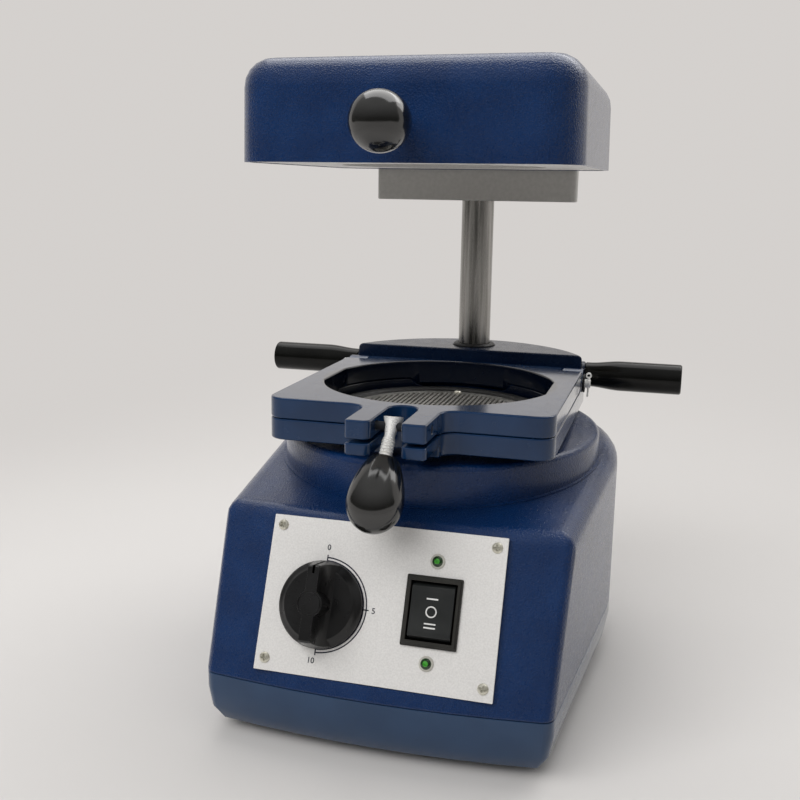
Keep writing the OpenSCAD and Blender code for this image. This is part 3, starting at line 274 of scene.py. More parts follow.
metals = {
    "panelSilver": {"deep": (0.66, 0.65, 0.635), "light": (0.74, 0.73, 0.715), "rough": (0.4, 0.46),
                    "metallic": 0.1, "stretch": (1, 1, 1), "scale": 1300, "depth": 0.000012},
    "blackedSteel": {"deep": (0.006, 0.007, 0.01), "light": (0.014, 0.016, 0.02), "rough": (0.5, 0.6),
                     "metallic": 0.1, "stretch": (1, 1, 1), "scale": 300, "depth": 0.00001},
    "brightSteel": {"deep": (0.88, 0.88, 0.86), "light": (0.95, 0.95, 0.93), "rough": (0.26, 0.3),
                    "metallic": 0.4, "stretch": (1, 1, 1), "scale": 400, "depth": 0.00001},
    "screwNickel": {"deep": (0.62, 0.6, 0.5), "light": (0.78, 0.76, 0.66), "rough": (0.28, 0.36),
                    "metallic": 0.8, "stretch": (1, 1, 1), "scale": 500, "depth": 0.00002},
    "postChrome": {"deep": (0.22, 0.215, 0.20), "light": (0.45, 0.44, 0.42), "rough": (0.18, 0.36),
                   "metallic": 1, "stretch": (60, 60, 1.5), "scale": 9, "depth": 0.00001},
    "castAluminium": {"deep": (0.4, 0.393, 0.375), "light": (0.45, 0.443, 0.425), "rough": (0.48, 0.56),
                      "metallic": 0.4, "stretch": (1, 1, 1), "scale": 420, "depth": 0.00003},
    "tableAluminium": {"deep": (0.42, 0.41, 0.38), "light": (0.58, 0.57, 0.54), "rough": (0.3, 0.42),
                       "metallic": 0.85, "stretch": (1, 8, 1), "scale": 120, "depth": 0.00001},
    "innerSteel": {"deep": (0.35, 0.35, 0.35), "light": (0.5, 0.5, 0.5), "rough": (0.35, 0.5),
                   "metallic": 0.9, "stretch": (1, 1, 6), "scale": 150, "depth": 0.00001},
    "turnedBrass": {"deep": (0.55, 0.38, 0.13), "light": (0.7, 0.5, 0.2), "rough": (0.25, 0.35),
                    "metallic": 1, "stretch": (1, 1, 12), "scale": 120, "depth": 0.00001},
    "heaterSheath": {"deep": (0.06, 0.05, 0.045), "light": (0.16, 0.12, 0.09), "rough": (0.5, 0.65),
                     "metallic": 0.6, "stretch": (1, 1, 1), "scale": 220, "depth": 0.00003},
}
metalGrain = {"finer": 6, "strength": 0.4}


def makeMetal(kind):
    s = metals[kind]
    m, tree, shader = newMaterial(kind)
    space = patternSpace(tree, s["stretch"])
    drift = cloudy(tree, space, s["scale"], 4)
    tree.links.new(blendColours(tree, drift, s["deep"], s["light"]), shader.inputs["Base Color"])
    tree.links.new(spread(tree, drift, *s["rough"]), shader.inputs["Roughness"])
    shader.inputs["Metallic"].default_value = s["metallic"]
    grain = cloudy(tree, space, s["scale"] * metalGrain["finer"])
    relief(tree, shader, grain, metalGrain["strength"], s["depth"])
    return m


moulded = {
    "knobBlack": {"deep": (0.004, 0.004, 0.0036), "light": (0.007, 0.007, 0.0065),
                  "rough": (0.12, 0.15), "depth": 0.000004, "scale": 300, "ior": 1.75},
    "handleBlack": {"deep": (0.0025, 0.0026, 0.0022), "light": (0.005, 0.0052, 0.0045),
                    "rough": (0.15, 0.2), "depth": 0.000008, "scale": 500, "ior": 1.3},
    "dialBlack": {"deep": (0.004, 0.004, 0.0042), "light": (0.008, 0.008, 0.0085),
                  "rough": (0.27, 0.31), "depth": 0.000006, "scale": 900},
    "switchBlack": {"deep": (0.013, 0.0145, 0.0145), "light": (0.018, 0.0195, 0.0195),
                    "rough": (0.36, 0.41), "depth": 0.000015, "scale": 1600},
    "bezelBlack": {"deep": (0.017, 0.0165, 0.014), "light": (0.023, 0.022, 0.019),
                   "rough": (0.42, 0.48), "depth": 0.000015, "scale": 1600},
    "rimPale": {"deep": (0.4, 0.39, 0.35), "light": (0.52, 0.51, 0.46),
                "rough": (0.25, 0.4), "depth": 0.00001, "scale": 600},
    "sealRubber": {"deep": (0.006, 0.006, 0.0062), "light": (0.012, 0.012, 0.012),
                   "rough": (0.45, 0.6), "depth": 0.00003, "scale": 900},
    "footRubber": {"deep": (0.012, 0.012, 0.012), "light": (0.022, 0.022, 0.022),
                   "rough": (0.6, 0.75), "depth": 0.00004, "scale": 900},
    "creamPlastic": {"deep": (0.5, 0.48, 0.41), "light": (0.6, 0.58, 0.51),
                     "rough": (0.35, 0.5), "depth": 0.00002, "scale": 500},
    "heaterCeramic": {"deep": (0.52, 0.47, 0.38), "light": (0.68, 0.63, 0.54),
                      "rough": (0.7, 0.85), "depth": 0.00006, "scale": 300},
    "printInk": {"deep": (0.004, 0.005, 0.018), "light": (0.008, 0.009, 0.026),
                 "rough": (0.5, 0.6), "depth": 0.000004, "scale": 900},
    "markWhite": {"deep": (0.62, 0.62, 0.61), "light": (0.72, 0.72, 0.71),
                  "rough": (0.45, 0.55), "depth": 0.000004, "scale": 900},
}
mouldedSkin = {"patch": 90, "glossShare": 0.4, "strength": 0.4, "ior": 1.5}


def makeMoulded(kind):
    s = moulded[kind]
    skin = mouldedSkin
    m, tree, shader = newMaterial(kind)
    space = patternSpace(tree)
    baseLook(tree, shader, space, s, skin["patch"], s["scale"] * skin["glossShare"])
    relief(tree, shader, cloudy(tree, space, s["scale"]), skin["strength"], s["depth"])
    shader.inputs["IOR"].default_value = s.get("ior", skin["ior"])
    return m


lampGlass = {
    # painted light: the lens middle is coloured bright as a highlight, the rim dark as its reflection
    "lensPaintedHighlight": {"deep": (0.02, 0.2, 0.012), "light": (0.07, 0.36, 0.04), "rough": (0.1, 0.14)},
    "lensPaintedDarkRim": {"deep": (0.0012, 0.016, 0.001), "light": (0.004, 0.04, 0.003), "rough": (0.1, 0.14)},
}
lampSkin = {"patch": 700, "roughPatch": 300, "scale": 400, "strength": 0.2, "depth": 0.00001, "coat": 0.4}


def makeLampGlass(kind):
    s = lampSkin
    m, tree, shader = newMaterial(kind)
    space = patternSpace(tree)
    baseLook(tree, shader, space, lampGlass[kind], s["patch"], s["roughPatch"])
    relief(tree, shader, cloudy(tree, space, s["scale"]), s["strength"], s["depth"])
    shader.inputs["Coat Weight"].default_value = s["coat"]
    return m


finish = {"leatherGrainPaint": makeGrainPaint("leatherGrainPaint")}
for kind in smoothPaint:
    finish[kind + "Paint"] = makeSmoothPaint(kind)
for table, make in ((lampGlass, makeLampGlass), (metals, makeMetal), (moulded, makeMoulded)):
    for kind in table:
        finish[kind] = make(kind)
print("materials made:", len(finish))


def wear(obj, name):
    obj.data.materials.clear()
    obj.data.materials.append(finish[name])


# helpers for pieces
def onlySelect(obj):
    bpy.ops.object.select_all(action="DESELECT")
    obj.select_set(True)
    bpy.context.view_layer.objects.active = obj


def onlyEdit(obj, action):
    if bpy.context.mode != "EDIT_MESH":
        onlySelect(obj)
        bpy.ops.object.mode_set(mode="EDIT")
    bpy.ops.mesh.select_all(action=action)


def turnOutwards(obj, near=0.0):
    onlyEdit(obj, "SELECT")
    if near:
        bpy.ops.mesh.remove_doubles(threshold=near)
    bpy.ops.mesh.normals_make_consistent(inside=False)
    bpy.ops.object.mode_set(mode="OBJECT")


def useModifier(obj, kind, **values):
    onlySelect(obj)
    mod = obj.modifiers.new(kind.lower(), kind)
    for key, value in values.items():
        setattr(mod, key, value)
    bpy.ops.object.modifier_apply(modifier=mod.name)


def applyPlace():
    bpy.ops.object.transform_apply(location=True, rotation=True, scale=True)


def settle(obj, matrix):
    onlySelect(obj)
    obj.matrix_world = matrix @ obj.matrix_world
    applyPlace()


def smoothOver(obj, degrees):
    onlySelect(obj)
    bpy.ops.object.shade_smooth_by_angle(angle=math.radians(degrees))


def joinPieces(name, pieces):
    bpy.ops.object.select_all(action="DESELECT")
    for p in pieces:
        p.select_set(True)
    bpy.context.view_layer.objects.active = pieces[0]
    bpy.ops.object.join()
    pieces[0].name = name
    return pieces[0]


def profileChain(points):
    bpy.ops.mesh.primitive_plane_add(size=0.001, location=(0, 0, 0))
    obj = bpy.context.object
    bpy.ops.object.mode_set(mode="EDIT")
    bpy.ops.mesh.select_all(action="SELECT")
    bpy.ops.mesh.merge(type="CENTER")
    here = Vector((points[0][0] * mm, 0, points[0][1] * mm))
    bpy.ops.transform.translate(value=here)
    for r, z in points[1:]:
        there = Vector((r * mm, 0, z * mm))
        bpy.ops.mesh.extrude_region_move(TRANSFORM_OT_translate={"value": there - here})
        here = there
    bpy.ops.mesh.select_all(action="SELECT")
    return obj


def turnedPiece(name, points, steps):
    obj = profileChain(points)
    bpy.ops.mesh.spin(steps=steps, angle=math.tau, center=(0, 0, 0), axis=(0, 0, 1))
    turnOutwards(obj, weld)
    obj.name = name
    return obj


def blockPiece(name, size, at, turn=0):
    bpy.ops.mesh.primitive_cube_add(size=1, location=[v * mm for v in at],
                                    rotation=(0, 0, math.radians(turn)))
    obj = bpy.context.object
    obj.scale = [v * mm for v in size]
    obj.name = name
    applyPlace()
    return obj


def cutTogether(obj, other, operation):
    useModifier(obj, "BOOLEAN", operation=operation, object=other, solver="EXACT")


def finishPiece(obj, material, body, smooth):
    smoothOver(obj, smooth)
    wear(obj, material)
    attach(obj, body)


# carried-over nodes that keep their own shape
plainFinish = {
    "rubber_feet": "footRubber", "case_screws": "screwNickel", "timer_body": "innerSteel",
    "timer_shaft": "innerSteel", "fan_housing": "innerSteel", "motor_body": "innerSteel",
    "motor_screws": "screwNickel", "impeller": "creamPlastic", "motor_shaft": "brightSteel",
    "suction_seal": "sealRubber", "forming_table": "tableAluminium", "table_seal": "sealRubber",
    "table_screws": "screwNickel", "post": "postChrome", "post_nut": "innerSteel",
    "stop_washer": "creamPlastic", "slide_bush": "turnedBrass", "post_wiper": "sealRubber",
    "handle_studs": "brightSteel", "frame_screws": "screwNickel", "hinge_pins": "brightSteel",
    "hinge_washers": "sealRubber", "split_pins": "brightSteel", "bolt_pivot_pin": "blackedSteel",
    "knob_insert": "turnedBrass", "head_plate": "panelSilver", "head_screws": "screwNickel",
    "reflector": "tableAluminium", "heater_ceramic": "heaterCeramic",
    "heater_element": "heaterSheath", "terminal_block": "heaterCeramic",
    "bracket_screws": "innerSteel", "friction_screw": "innerSteel",
    "head_knob_stud": "brightSteel", "lamp_bezels": "rimPale",
}
for node, kind in plainFinish.items():
    wear(nodes[node], kind)
print("plain nodes dressed:", len(plainFinish))

# nodes whose edges are softened; the bevel is clamped only where it would cross itself
softened = {
    "lower_tray": {"material": "trayPaint", "slot": "tray_paint", "width": 0.35 * mm,
                   "angle": 32, "smooth": 60, "clamp": False},
    "upper_housing": {"material": "leatherGrainPaint", "slot": "grain_paint", "width": 0.5 * mm,
                      "angle": 32, "smooth": 50, "clamp": True},
    "control_panel": {"material": "panelSilver", "slot": "panel_metal", "width": 0.12 * mm,
                      "angle": 40, "smooth": 40, "clamp": False},
    "switch_housing": {"material": "bezelBlack", "slot": "trim_plastic", "width": 0.25 * mm,
                       "angle": 40, "smooth": 40, "clamp": False},
    "timer_knob": {"material": "dialBlack", "slot": "trim_plastic", "width": 0.2 * mm,
                   "angle": 35, "smooth": 28, "clamp": False},
    "power_inlet": {"material": "bezelBlack", "slot": "trim_plastic", "width": 0.3 * mm,
                    "angle": 40, "smooth": 40, "clamp": True},
    "fuse_holder": {"material": "bezelBlack", "slot": "trim_plastic", "width": 0.3 * mm,
                    "angle": 40, "smooth": 40, "clamp": True},
    "carriage": {"material": "carriagePaint", "slot": "carriage_paint", "width": 1.0 * mm,
                 "angle": 50, "smooth": 45, "clamp": False},
    # the frame plates' paint carries painted shade on the wall of the opening
    "lower_frame_plate": {"material": "framePaint", "slot": "frame_paint", "width": 0.7 * mm,
                          "angle": 50, "smooth": 45, "clamp": False},
    "upper_frame_plate": {"material": "framePaint", "slot": "frame_paint", "width": 0.9 * mm,
                          "angle": 50, "smooth": 45, "clamp": False},
    "head_cover": {"material": "leatherGrainPaint", "slot": "grain_paint", "width": 0.6 * mm,
                   "angle": 40, "smooth": 50, "clamp": True},
    "head_bracket": {"material": "castAluminium", "slot": "bracket_aluminium", "width": 0.8 * mm,
                     "angle": 50, "smooth": 45, "clamp": False},
}
softening = {"flatten": 0.08, "segments": 2, "normalWeight": 50}    # flatten in degrees


def softenedCopy(node, s):
    source = nodes[node]
    obj = source.copy()
    obj.data = source.data.copy()
    for key in ("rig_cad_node", "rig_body"):      # the copy is a piece, not a node
        if key in obj:
            del obj[key]
    obj.parent = None
    bpy.context.scene.collection.objects.link(obj)
    obj.name = node + "_soft"
    obj.matrix_world = Matrix.Identity(4)
    onlyEdit(obj, "SELECT")
    bpy.ops.mesh.remove_doubles(threshold=weld)
    bpy.ops.mesh.dissolve_limited(angle_limit=math.radians(softening["flatten"]),
                                  use_dissolve_boundaries=False)
    bpy.ops.object.mode_set(mode="OBJECT")
    useModifier(obj, "BEVEL", width=s["width"], segments=softening["segments"], limit_method="ANGLE",
                angle_limit=math.radians(s["angle"]), use_clamp_overlap=s["clamp"])
    smoothOver(obj, s["smooth"])
    useModifier(obj, "WEIGHTED_NORMAL", keep_sharp=True, weight=softening["normalWeight"])
    wear(obj, s["material"])
    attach(obj, bodyOf[node])
    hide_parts(node)


for node, s in softened.items():
    softenedCopy(node, s)
print("softened pieces:", len(softened))

# panel print: half circles and ticks round the timer knob, and its numbers
panelPrint = {
    "timer": (-26.8, 32.0), "height": 0.06,
    "arcs": ((19.7, 0.7), (21.2, 0.58)),        # radius and line width
    "arcStart": 0.02, "arcSteps": 60,
    "ticks": (0, 90, 180), "tickIn": 19.4, "tickOut": 22.4, "tickWidth": 0.55,
    "numbers": (("0", -26.7, 57.7), ("5", -2.2, 31.9), ("10", -28.4, 7.0)),
    "numberSize": 3.6, "bold": 0.05, "curveSteps": 3,
}


def makeArc(radius, width, top):
    s = panelPrint
    bar = blockPiece("arc", (s["arcStart"], width, s["height"]), (0, radius, top))
    onlyEdit(bar, "DESELECT")
    bpy.ops.object.mode_set(mode="OBJECT")
    for face in bar.data.polygons:
        face.select = face.normal.x > 0.9       # the end that is spun round
    bpy.ops.object.mode_set(mode="EDIT")
    bpy.ops.mesh.spin(steps=s["arcSteps"], angle=math.pi, center=(0, 0, 0), axis=(0, 0, 1))
    turnOutwards(bar, weld / 2)
    return bar


def makeNumber(text, u, v, top):
    s = panelPrint
    bpy.ops.object.text_add(location=(u * mm, v * mm, top * mm))
    word = bpy.context.object
    word.data.body = text
    word.data.size = s["numberSize"] * mm
    word.data.extrude = s["height"] * mm / 2
    word.data.offset = s["bold"] * mm
    word.data.align_x = "CENTER"
    word.data.align_y = "CENTER"
    word.data.resolution_u = s["curveSteps"]
    bpy.ops.object.convert(target="MESH")
    applyPlace()
    return word


def makePanelPrint():
    s = panelPrint
    top = place["panelThick"] / mm + s["height"] / 2
    parts = [makeArc(radius, width, top) for radius, width in s["arcs"]]
    middle = (s["tickIn"] + s["tickOut"]) / 2
    for turn in s["ticks"]:
        a = math.radians(turn)
        parts.append(blockPiece("tick", (s["tickWidth"], s["tickOut"] - s["tickIn"], s["height"]),
                                (middle * math.sin(a), middle * math.cos(a), top), -turn))
    for p in parts:
        settle(p, Matrix.Translation((s["timer"][0] * mm, s["timer"][1] * mm, 0)))
    for text, u, v in s["numbers"]:
        parts.append(makeNumber(text, u, v, top))
    obj = joinPieces("timer_scale", parts)
    settle(obj, panelPlace())
    finishPiece(obj, "printInk", "base", 30)


makePanelPrint()

# rocker with a hollow face, a step near each end, and its marks
rocker = {
    "at": (24.4, 34.8), "wide": 19.4, "pivot": -3.0, "radius": 12.6,
    "low": 3.0, "rise": 0.5, "reach": 10.8, "faceSteps": 12,    # hollow face
    "step": 9.4, "stepDeep": 0.14,
    "sideEnd": 96, "sideSteps": 8, "edge": 0.35,                # round sides, end in degrees
    "height": 0.12, "middleUp": 0.3,                            # marks stand up by this share
    "bar": (5.2, 0.7), "barUp": 5.6, "ring": (2.25, 0.62), "ringFlat": 0.3,
    "pairDown": (-5.2, -6.9), "pair": (5.2, 0.62),
}


def rockerFace(v):
    return rocker["low"] + rocker["rise"] * (v / rocker["reach"]) ** 2


def rockerPlace():
    u, v = rocker["at"]
    return panelPlace() @ Matrix.Translation((u * mm, v * mm, 0))


def makeRocker():
    s = rocker
    face = []
    for i in range(-s["faceSteps"], s["faceSteps"] + 1):
        v = s["reach"] * i / s["faceSteps"]
        drop = s["stepDeep"] if abs(v) > s["step"] else 0
        face.append((v, rockerFace(v) - drop))
    start = math.asin(s["reach"] / s["radius"])
    side = []
    for i in range(1, s["sideSteps"] + 1):
        a = start + (math.radians(s["sideEnd"]) - start) * i / s["sideSteps"]
        side.append((s["radius"] * math.sin(a), s["pivot"] + s["radius"] * math.cos(a)))
    outline = [(-v, w) for v, w in reversed(side)] + face + side
    obj = profileChain(outline)
    bpy.ops.mesh.edge_face_add()
    bpy.ops.mesh.extrude_region_move(TRANSFORM_OT_translate={"value": (0, s["wide"] * mm, 0)})
    turnOutwards(obj)
    useModifier(obj, "BEVEL", width=s["edge"] * mm, segments=3, limit_method="ANGLE",
                angle_limit=math.radians(50), use_clamp_overlap=False)
    swapped = Matrix(((0, 1, 0, 0), (1, 0, 0, 0), (0, 0, 1, 0), (0, 0, 0, 1)))     # x and y
    settle(obj, swapped @ Matrix.Translation((0, -s["wide"] / 2 * mm, 0)))
    turnOutwards(obj)
    obj.name = "rocker_cap"
    settle(obj, rockerPlace())
    finishPiece(obj, "switchBlack", "rocker", 30)
    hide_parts("rocker_button")


def makeRockerMarks():
    s = rocker
    lift = s["height"] * s["middleUp"]
    parts = []
    for v, size in ((s["barUp"], s["bar"]), *((v, s["pair"]) for v in s["pairDown"])):
        parts.append(blockPiece("bar", (*size, s["height"]), (0, v, rockerFace(v) + lift)))
    radius, line = s["ring"]
    bpy.ops.mesh.primitive_torus_add(major_radius=radius * mm, minor_radius=line * mm / 2,
                                     major_segments=40, minor_segments=8,
                                     location=(0, 0, (rockerFace(0) + lift) * mm))
    ring = bpy.context.object
    ring.scale = (1, 1, s["ringFlat"])
    applyPlace()
    parts.append(ring)
    obj = joinPieces("rocker_marks", parts)
    settle(obj, rockerPlace())
    finishPiece(obj, "markWhite", "rocker", 30)


makeRocker()
makeRockerMarks()

# signal lamps: each lens has a painted highlight in its middle and a rim painted dark as its reflection
signalLamp = {"radius": 2.45, "highlightRadius": 1.35, "foot": -4.9, "shoulder": 1.6, "dome": 1.5,
              "domeSteps": 12, "step": 22.2}    # step along the panel from the rocker


def makeSignalLamp(name, node, side):
    s = signalLamp
    points = [(0, s["foot"]), (s["radius"], s["foot"])]
    for i in range(s["domeSteps"] + 1):
        a = math.pi / 2 * i / s["domeSteps"]
        points.append((s["radius"] * math.cos(a), s["shoulder"] + s["dome"] * math.sin(a)))
    obj = turnedPiece(name, points, 40)
    smoothOver(obj, 50)
    # the lens wears the rim painted dark as its reflection, and faces near the middle get the painted
    # highlight colour
    wear(obj, "lensPaintedDarkRim")
    obj.data.materials.append(finish["lensPaintedHighlight"])
    for face in obj.data.polygons:
        if face.normal.z > 0 and math.hypot(face.center.x, face.center.y) < s["highlightRadius"] * mm:
            face.material_index = 1
    settle(obj, rockerPlace() @ Matrix.Translation((0, side * s["step"] * mm, 0)))
    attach(obj, "base")
    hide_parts(node)


makeSignalLamp("heating_lens", "heating_lamp", 1)
makeSignalLamp("vacuum_lens", "vacuum_lamp", -1)
print("panel print, rocker and lamps made")

# handles: turned grips with a crisp end
handle = {
    "root": 69.4, "y": 79.2, "z": 145.9,        # where the grip starts
    "rootRadius": 7.0, "lip": 0.4, "radius": 8.6, "length": 54.4, "edge": 1.3,
    "swellFrom": 2, "swellShare": 0.38, "swellSteps": 16, "edgeSteps": 6,
    "stud": 3.0, "studDeep": 23.0,
}


def makeHandle(name, node, side):
    s = handle
    points = [(0, s["studDeep"]), (s["stud"], s["studDeep"]), (s["stud"], 0),
              (s["rootRadius"] - s["lip"], 0), (s["rootRadius"], s["lip"])]
    swellTo = s["length"] * s["swellShare"]
    for i in range(s["swellSteps"] + 1):
        t = i / s["swellSteps"]
        bulge = (1 - math.cos(math.pi * t)) / 2
        points.append((s["rootRadius"] + (s["radius"] - s["rootRadius"]) * bulge,
                       s["swellFrom"] + (swellTo - s["swellFrom"]) * t))
    for i in range(s["edgeSteps"] + 1):
        a = math.pi / 2 * i / s["edgeSteps"]
        points.append((s["radius"] - s["edge"] * (1 - math.cos(a)),
                       s["length"] - s["edge"] * (1 - math.sin(a))))
    points.append((0, s["length"]))
    obj = turnedPiece(name, points, 64)
    spot = Matrix.Translation((side * s["root"] * mm, s["y"] * mm + place["tableY"], s["z"] * mm))
    settle(obj, spot @ Matrix.Rotation(math.radians(90 * side), 4, "Y"))
    finishPiece(obj, "handleBlack", "carriage", 40)
    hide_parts(node)


makeHandle("right_grip", "right_handle", 1)
makeHandle("left_grip", "left_handle", -1)

# panel screws with a cross recess
panelScrews = {
    "u": 50.3, "v": (5.5, 65.8), "turns": (12, 38, -20, 5),
    "radius": 2.45, "skirt": 0.25, "sunk": 0.1, "rise": 1.25, "dome": (0.3, 0.6, 0.9, 1.2),
    "recess": (0.8, 2.9, 1.9),
}


def makePanelScrew(name):
    s = panelScrews
    r, foot, h = s["radius"], s["skirt"], s["rise"]
    rim = [(0, -s["sunk"]), (r, -s["sunk"]), (r, foot)]
    dome = [(r * math.cos(a), foot + (h - foot) * math.sin(a)) for a in s["dome"]]
    obj = turnedPiece(name, rim + dome + [(0, h)], 32)
    for turn in (0, 90):
        cutter = blockPiece("cut", s["recess"], (0, 0, h), turn)
        cutTogether(obj, cutter, "DIFFERENCE")
        bpy.data.objects.remove(cutter)
    return obj


def makePanelScrews():
    s = panelScrews
    first = makePanelScrew("panel_screw_heads")
    parts = []
    spots = [(u, v) for u in (-s["u"], s["u"]) for v in s["v"]]
    for (u, v), turn in zip(spots, s["turns"]):
        p = first.copy()
        p.data = first.data.copy()
        bpy.context.scene.collection.objects.link(p)
        spot = Matrix.Translation((u * mm, v * mm, place["panelThick"]))
        settle(p, spot @ Matrix.Rotation(math.radians(turn), 4, "Z"))
        parts.append(p)
    bpy.data.objects.remove(first)
    obj = joinPieces("panel_screw_heads", parts)
    settle(obj, panelPlace())
    finishPiece(obj, "screwNickel", "base", 30)
    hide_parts("panel_screws")


makePanelScrews()

# swing bolt: a flared eye cut round, a neck and a threaded shank
swingBolt = {
    "eye": 4.5, "pinHole": 2.05, "neck": 2.4, "neckAt": -5.4, "flare": 1.6, "flareSteps": 16,
    "lip": 0.15, "shank": 3.0, "root": 2.25, "pitch": 1.5, "crest": (0.42, 0.58),
    "threadFrom": -6.8, "end": -33.2, "tip": 0.6, "chamfer": 0.2, "overlap": 0.7,
    "half": 9, "edge": 0.15,                    # half of the cutters' length
}


def eyeOutline():
    s = swingBolt
    top = s["eye"]
    outline = [(0, s["neckAt"] - 1), (s["neck"], s["neckAt"] - 1)]
    for i in range(s["flareSteps"] + 1):
        t = i / s["flareSteps"]
        outline.append((s["neck"] + (top + s["lip"] - s["neck"]) * t ** s["flare"],
                        s["neckAt"] + (top - s["neckAt"]) * t))
    return outline + [(0, top)]


def shankOutline():
    s = swingBolt
    outline = [(0, s["end"]), (s["root"] - s["chamfer"], s["end"])]
    z = s["end"] + s["tip"]
    while z < s["threadFrom"] - s["pitch"]:
        outline.append((s["root"], z))
        for share in s["crest"]:
            outline.append((s["shank"], z + s["pitch"] * share))
        z += s["pitch"]
    outline += [(s["root"], z), (s["shank"] - s["chamfer"], s["threadFrom"] + s["chamfer"])]
    return outline + [(s["neck"], s["neckAt"] - s["overlap"]), (0, s["neckAt"] - s["overlap"])]


def makeSwingBolt():
    s = swingBolt
    half = s["half"]
    bolt = turnedPiece("threaded_bolt", eyeOutline(), 64)
    drum = turnedPiece("drum", [(0, -half), (s["eye"], -half), (s["eye"], half), (0, half)], 64)
    settle(drum, Matrix.Rotation(math.radians(90), 4, "Y"))
    below = blockPiece("below", (2 * half, 2 * s["eye"], half), (0, 0, -half / 2))
    cutTogether(drum, below, "UNION")
    cutTogether(bolt, drum, "INTERSECT")
    shank = turnedPiece("shank", shankOutline(), 48)
    cutTogether(bolt, shank, "UNION")
    hole = turnedPiece("hole", [(0, -half), (s["pinHole"], -half), (s["pinHole"], half), (0, half)], 48)
    settle(hole, Matrix.Rotation(math.radians(90), 4, "Y"))
    cutTogether(bolt, hole, "DIFFERENCE")
    for helper in (drum, below, shank, hole):
        bpy.data.objects.remove(helper)
    useModifier(bolt, "BEVEL", width=s["edge"] * mm, segments=2, limit_method="ANGLE",
                angle_limit=math.radians(50))
    settle(bolt, boltPlace())
    finishPiece(bolt, "brightSteel", "bolt", 35)
    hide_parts("swing_bolt")


makeSwingBolt()

# egg-shaped knobs
eggKnob = {
    "length": 34.0, "wide": 12.5, "wideAt": 20.0, "foot": 7.0, "edge": 0.6, "lip": 0.15, "steps": 24,
    "clampHole": [(0, -20), (3.4, -20), (3.4, -12), (5, -12), (5, 0)], "clampAt": -17.2,
    "headHole": [(0, -18), (4, -18), (4, 0)], "headY": -94, "headZ": 277.5,
}


def makeEggKnob(name, node, body, hole, matrix):
    s = eggKnob
    foot, lip = s["foot"], s["lip"]
    points = hole + [(foot - s["edge"], 0), (foot - lip, -lip), (foot, -s["edge"])]
    for i in range(1, s["steps"] + 1):
        a = math.pi / 2 * i / s["steps"]
        points.append((foot + (s["wide"] - foot) * math.sin(a), -s["wideAt"] * i / s["steps"]))
    for i in range(1, s["steps"] + 1):
        a = math.pi / 2 * i / s["steps"]
        points.append((s["wide"] * math.cos(a),
                       -s["wideAt"] - (s["length"] - s["wideAt"]) * math.sin(a)))
    obj = turnedPiece(name, points, 72)
    settle(obj, matrix)
    finishPiece(obj, "knobBlack", body, 50)
    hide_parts(node)


makeEggKnob("clamp_grip", "clamp_knob", "bolt_knob", eggKnob["clampHole"],
            boltPlace() @ Matrix.Translation((0, 0, eggKnob["clampAt"] * mm)))
headSpot = Matrix.Translation((0, eggKnob["headY"] * mm + place["tableY"], eggKnob["headZ"] * mm))
makeEggKnob("head_grip", "head_knob", "head", eggKnob["headHole"],
            headSpot @ Matrix.Rotation(math.radians(-90), 4, "X"))
print("handles, screws, bolt and knobs made")

# floor, light and camera
studio = {
    "floor": (0.62, 0.606, 0.594), "lift": 1.015, "fleck": 2.0, "rough": 0.9, "shine": 0.1,
    "backdrop": (0.66, 0.635, 0.615), "near": 0.24, "far": 0.7,     # floor turns to backdrop
    "backdropY": 1.1, "side": 5.0, "front": -2.2, "high": 2.6, "sweep": 0.8, "sweepSteps": 24,
    "lampColour": (1, 0.993, 0.985),
    "ceiling": (0.5, 0.495, 0.49), "horizon": (0.09, 0.088, 0.085), "rise": (0.1, 0.85),
}
lamps = (
    {"name": "topLight", "at": (0.0, 0.55, 1.5), "toward": (0, 0, 0.15), "size": (1.8, 1.2),
     "power": 13, "mirrored": True},
    {"name": "frontLight", "at": (-0.5, -1.05, 1.15), "toward": (0, 0, 0.12), "size": (1.5, 1.2),
     "power": 18, "mirrored": False},
    {"name": "rearLight", "at": (0.5, 1.0, 1.1), "toward": (0, 0, 0.15), "size": (1.6, 0.6),
     "power": 6, "mirrored": True},
)
photoView = {
    "yaw": 15.49, "pitch": 12.06, "roll": 0.84, "at": (0.1199, -0.5097, 0.2528),
    "focal": 1006.2, "photoSize": 800,          # in pixels of the photo
    "sensor": 36, "nearest": 0.01,
}


def makePaleFloor():
    s = studio
    m, tree, shader = newMaterial("paleFloor")
    spot = tree.nodes.new("ShaderNodeTexCoord").outputs["Object"]
    colour = blendColours(tree, cloudy(tree, spot, s["fleck"]), s["floor"],
                          tuple(c * s["lift"] for c in s["floor"]))
    tree.links.new(colour, shader.inputs["Base Color"])
    shader.inputs["Roughness"].default_value = s["rough"]
    shader.inputs["Specular IOR Level"].default_value = s["shine"]
    plain = tree.nodes.new("ShaderNodeEmission")
    plain.inputs["Color"].default_value = (*s["backdrop"], 1)
    reach = tree.nodes.new("ShaderNodeVectorMath")
    reach.operation = "LENGTH"
    tree.links.new(spot, reach.inputs[0])
    away = tree.nodes.new("ShaderNodeMapRange")
    away.interpolation_type = "SMOOTHSTEP"
    away.inputs["From Min"].default_value = s["near"]
    away.inputs["From Max"].default_value = s["far"]
    tree.links.new(reach.outputs["Value"], away.inputs["Value"])
    rays = tree.nodes.new("ShaderNodeLightPath")
    seen = rays.outputs["Is Camera Ray"]
    for kind in ("Is Glossy Ray", "Is Transmission Ray"):
        seen = joinNumbers(tree, "MAXIMUM", seen, rays.outputs[kind])
    mix = tree.nodes.new("ShaderNodeMixShader")
    tree.links.new(joinNumbers(tree, "MULTIPLY", seen, away.outputs["Result"]), mix.inputs["Fac"])
    tree.links.new(shader.outputs["BSDF"], mix.inputs[1])
    tree.links.new(plain.outputs["Emission"], mix.inputs[2])
    out = next(n for n in tree.nodes if n.type == "OUTPUT_MATERIAL")
    tree.links.new(mix.outputs["Shader"], out.inputs["Surface"])
    return m


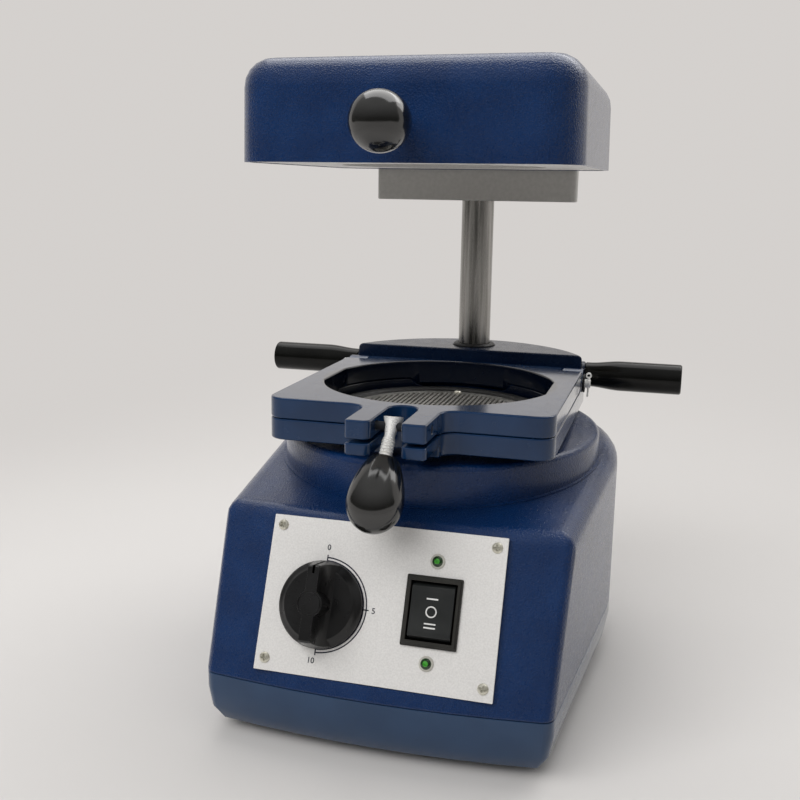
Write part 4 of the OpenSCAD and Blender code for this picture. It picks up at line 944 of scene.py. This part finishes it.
def makeFloor():
    s = studio
    bpy.ops.mesh.primitive_plane_add(size=1, location=(0, (s["front"] + s["backdropY"]) / 2, 0))
    floor = bpy.context.object
    floor.scale = (2 * s["side"], s["backdropY"] - s["front"], 1)
    applyPlace()
    mesh = floor.data
    rear = s["backdropY"] - 0.01
    for e in mesh.edges:
        e.select = all(mesh.vertices[v].co.y > rear for v in e.vertices)
    for v in mesh.vertices:
        v.select = v.co.y > rear
    for f in mesh.polygons:
        f.select = False
    bpy.ops.object.mode_set(mode="EDIT")
    bpy.ops.mesh.extrude_region_move(TRANSFORM_OT_translate={"value": (0, 0, s["high"])})
    bpy.ops.object.mode_set(mode="OBJECT")
    useModifier(floor, "BEVEL", width=s["sweep"], segments=s["sweepSteps"], limit_method="ANGLE",
                angle_limit=math.radians(60))
    smoothOver(floor, 60)
    floor.name = "floor"
    mesh.materials.append(makePaleFloor())


def makeLamp(s):
    data = bpy.data.lights.new(s["name"], "AREA")
    data.shape = "RECTANGLE"
    data.size, data.size_y = s["size"]
    data.energy = s["power"]
    data.color = studio["lampColour"]
    lamp = bpy.data.objects.new(s["name"], data)
    bpy.context.scene.collection.objects.link(lamp)
    lamp.location = s["at"]
    lamp.rotation_euler = (Vector(s["toward"]) - Vector(s["at"])).to_track_quat("-Z", "Y").to_euler()
    lamp.visible_glossy = s["mirrored"]


def makeRoom():
    s = studio
    world = bpy.data.worlds.new("studioWorld")
    bpy.context.scene.world = world
    world.use_nodes = True
    tree = world.node_tree
    back = next(n for n in tree.nodes if n.type == "BACKGROUND")
    way = tree.nodes.new("ShaderNodeTexCoord")
    split = tree.nodes.new("ShaderNodeSeparateXYZ")
    tree.links.new(way.outputs["Generated"], split.inputs["Vector"])
    room = blendColours(tree, split.outputs["Z"], s["horizon"], s["ceiling"], *s["rise"])
    tree.links.new(room, back.inputs["Color"])
    back.inputs["Strength"].default_value = 1


def makeCamera():
    s = photoView
    yaw, pitch, roll = (math.radians(s[k]) for k in ("yaw", "pitch", "roll"))
    forward = Vector((-math.sin(yaw) * math.cos(pitch), math.cos(yaw) * math.cos(pitch), -math.sin(pitch)))
    level = Vector((math.cos(yaw), math.sin(yaw), 0))
    upright = level.cross(forward)
    right = level * math.cos(roll) + upright * math.sin(roll)
    up = -level * math.sin(roll) + upright * math.cos(roll)
    data = bpy.data.cameras.new("photoCamera")
    data.sensor_width = s["sensor"]
    data.lens = s["focal"] / s["photoSize"] * s["sensor"]
    data.clip_start = s["nearest"]
    camera = bpy.data.objects.new("photoCamera", data)
    bpy.context.scene.collection.objects.link(camera)
    m = Matrix((right, up, -forward)).transposed().to_4x4()
    m.translation = Vector(s["at"]) + Vector((0, place["tableY"], 0))
    camera.matrix_world = m
    bpy.context.scene.camera = camera


makeFloor()
for lampRow in lamps:
    makeLamp(lampRow)
makeRoom()
makeCamera()
bpy.context.scene.view_settings.view_transform = "Standard"
print("stage, lights and camera ready")
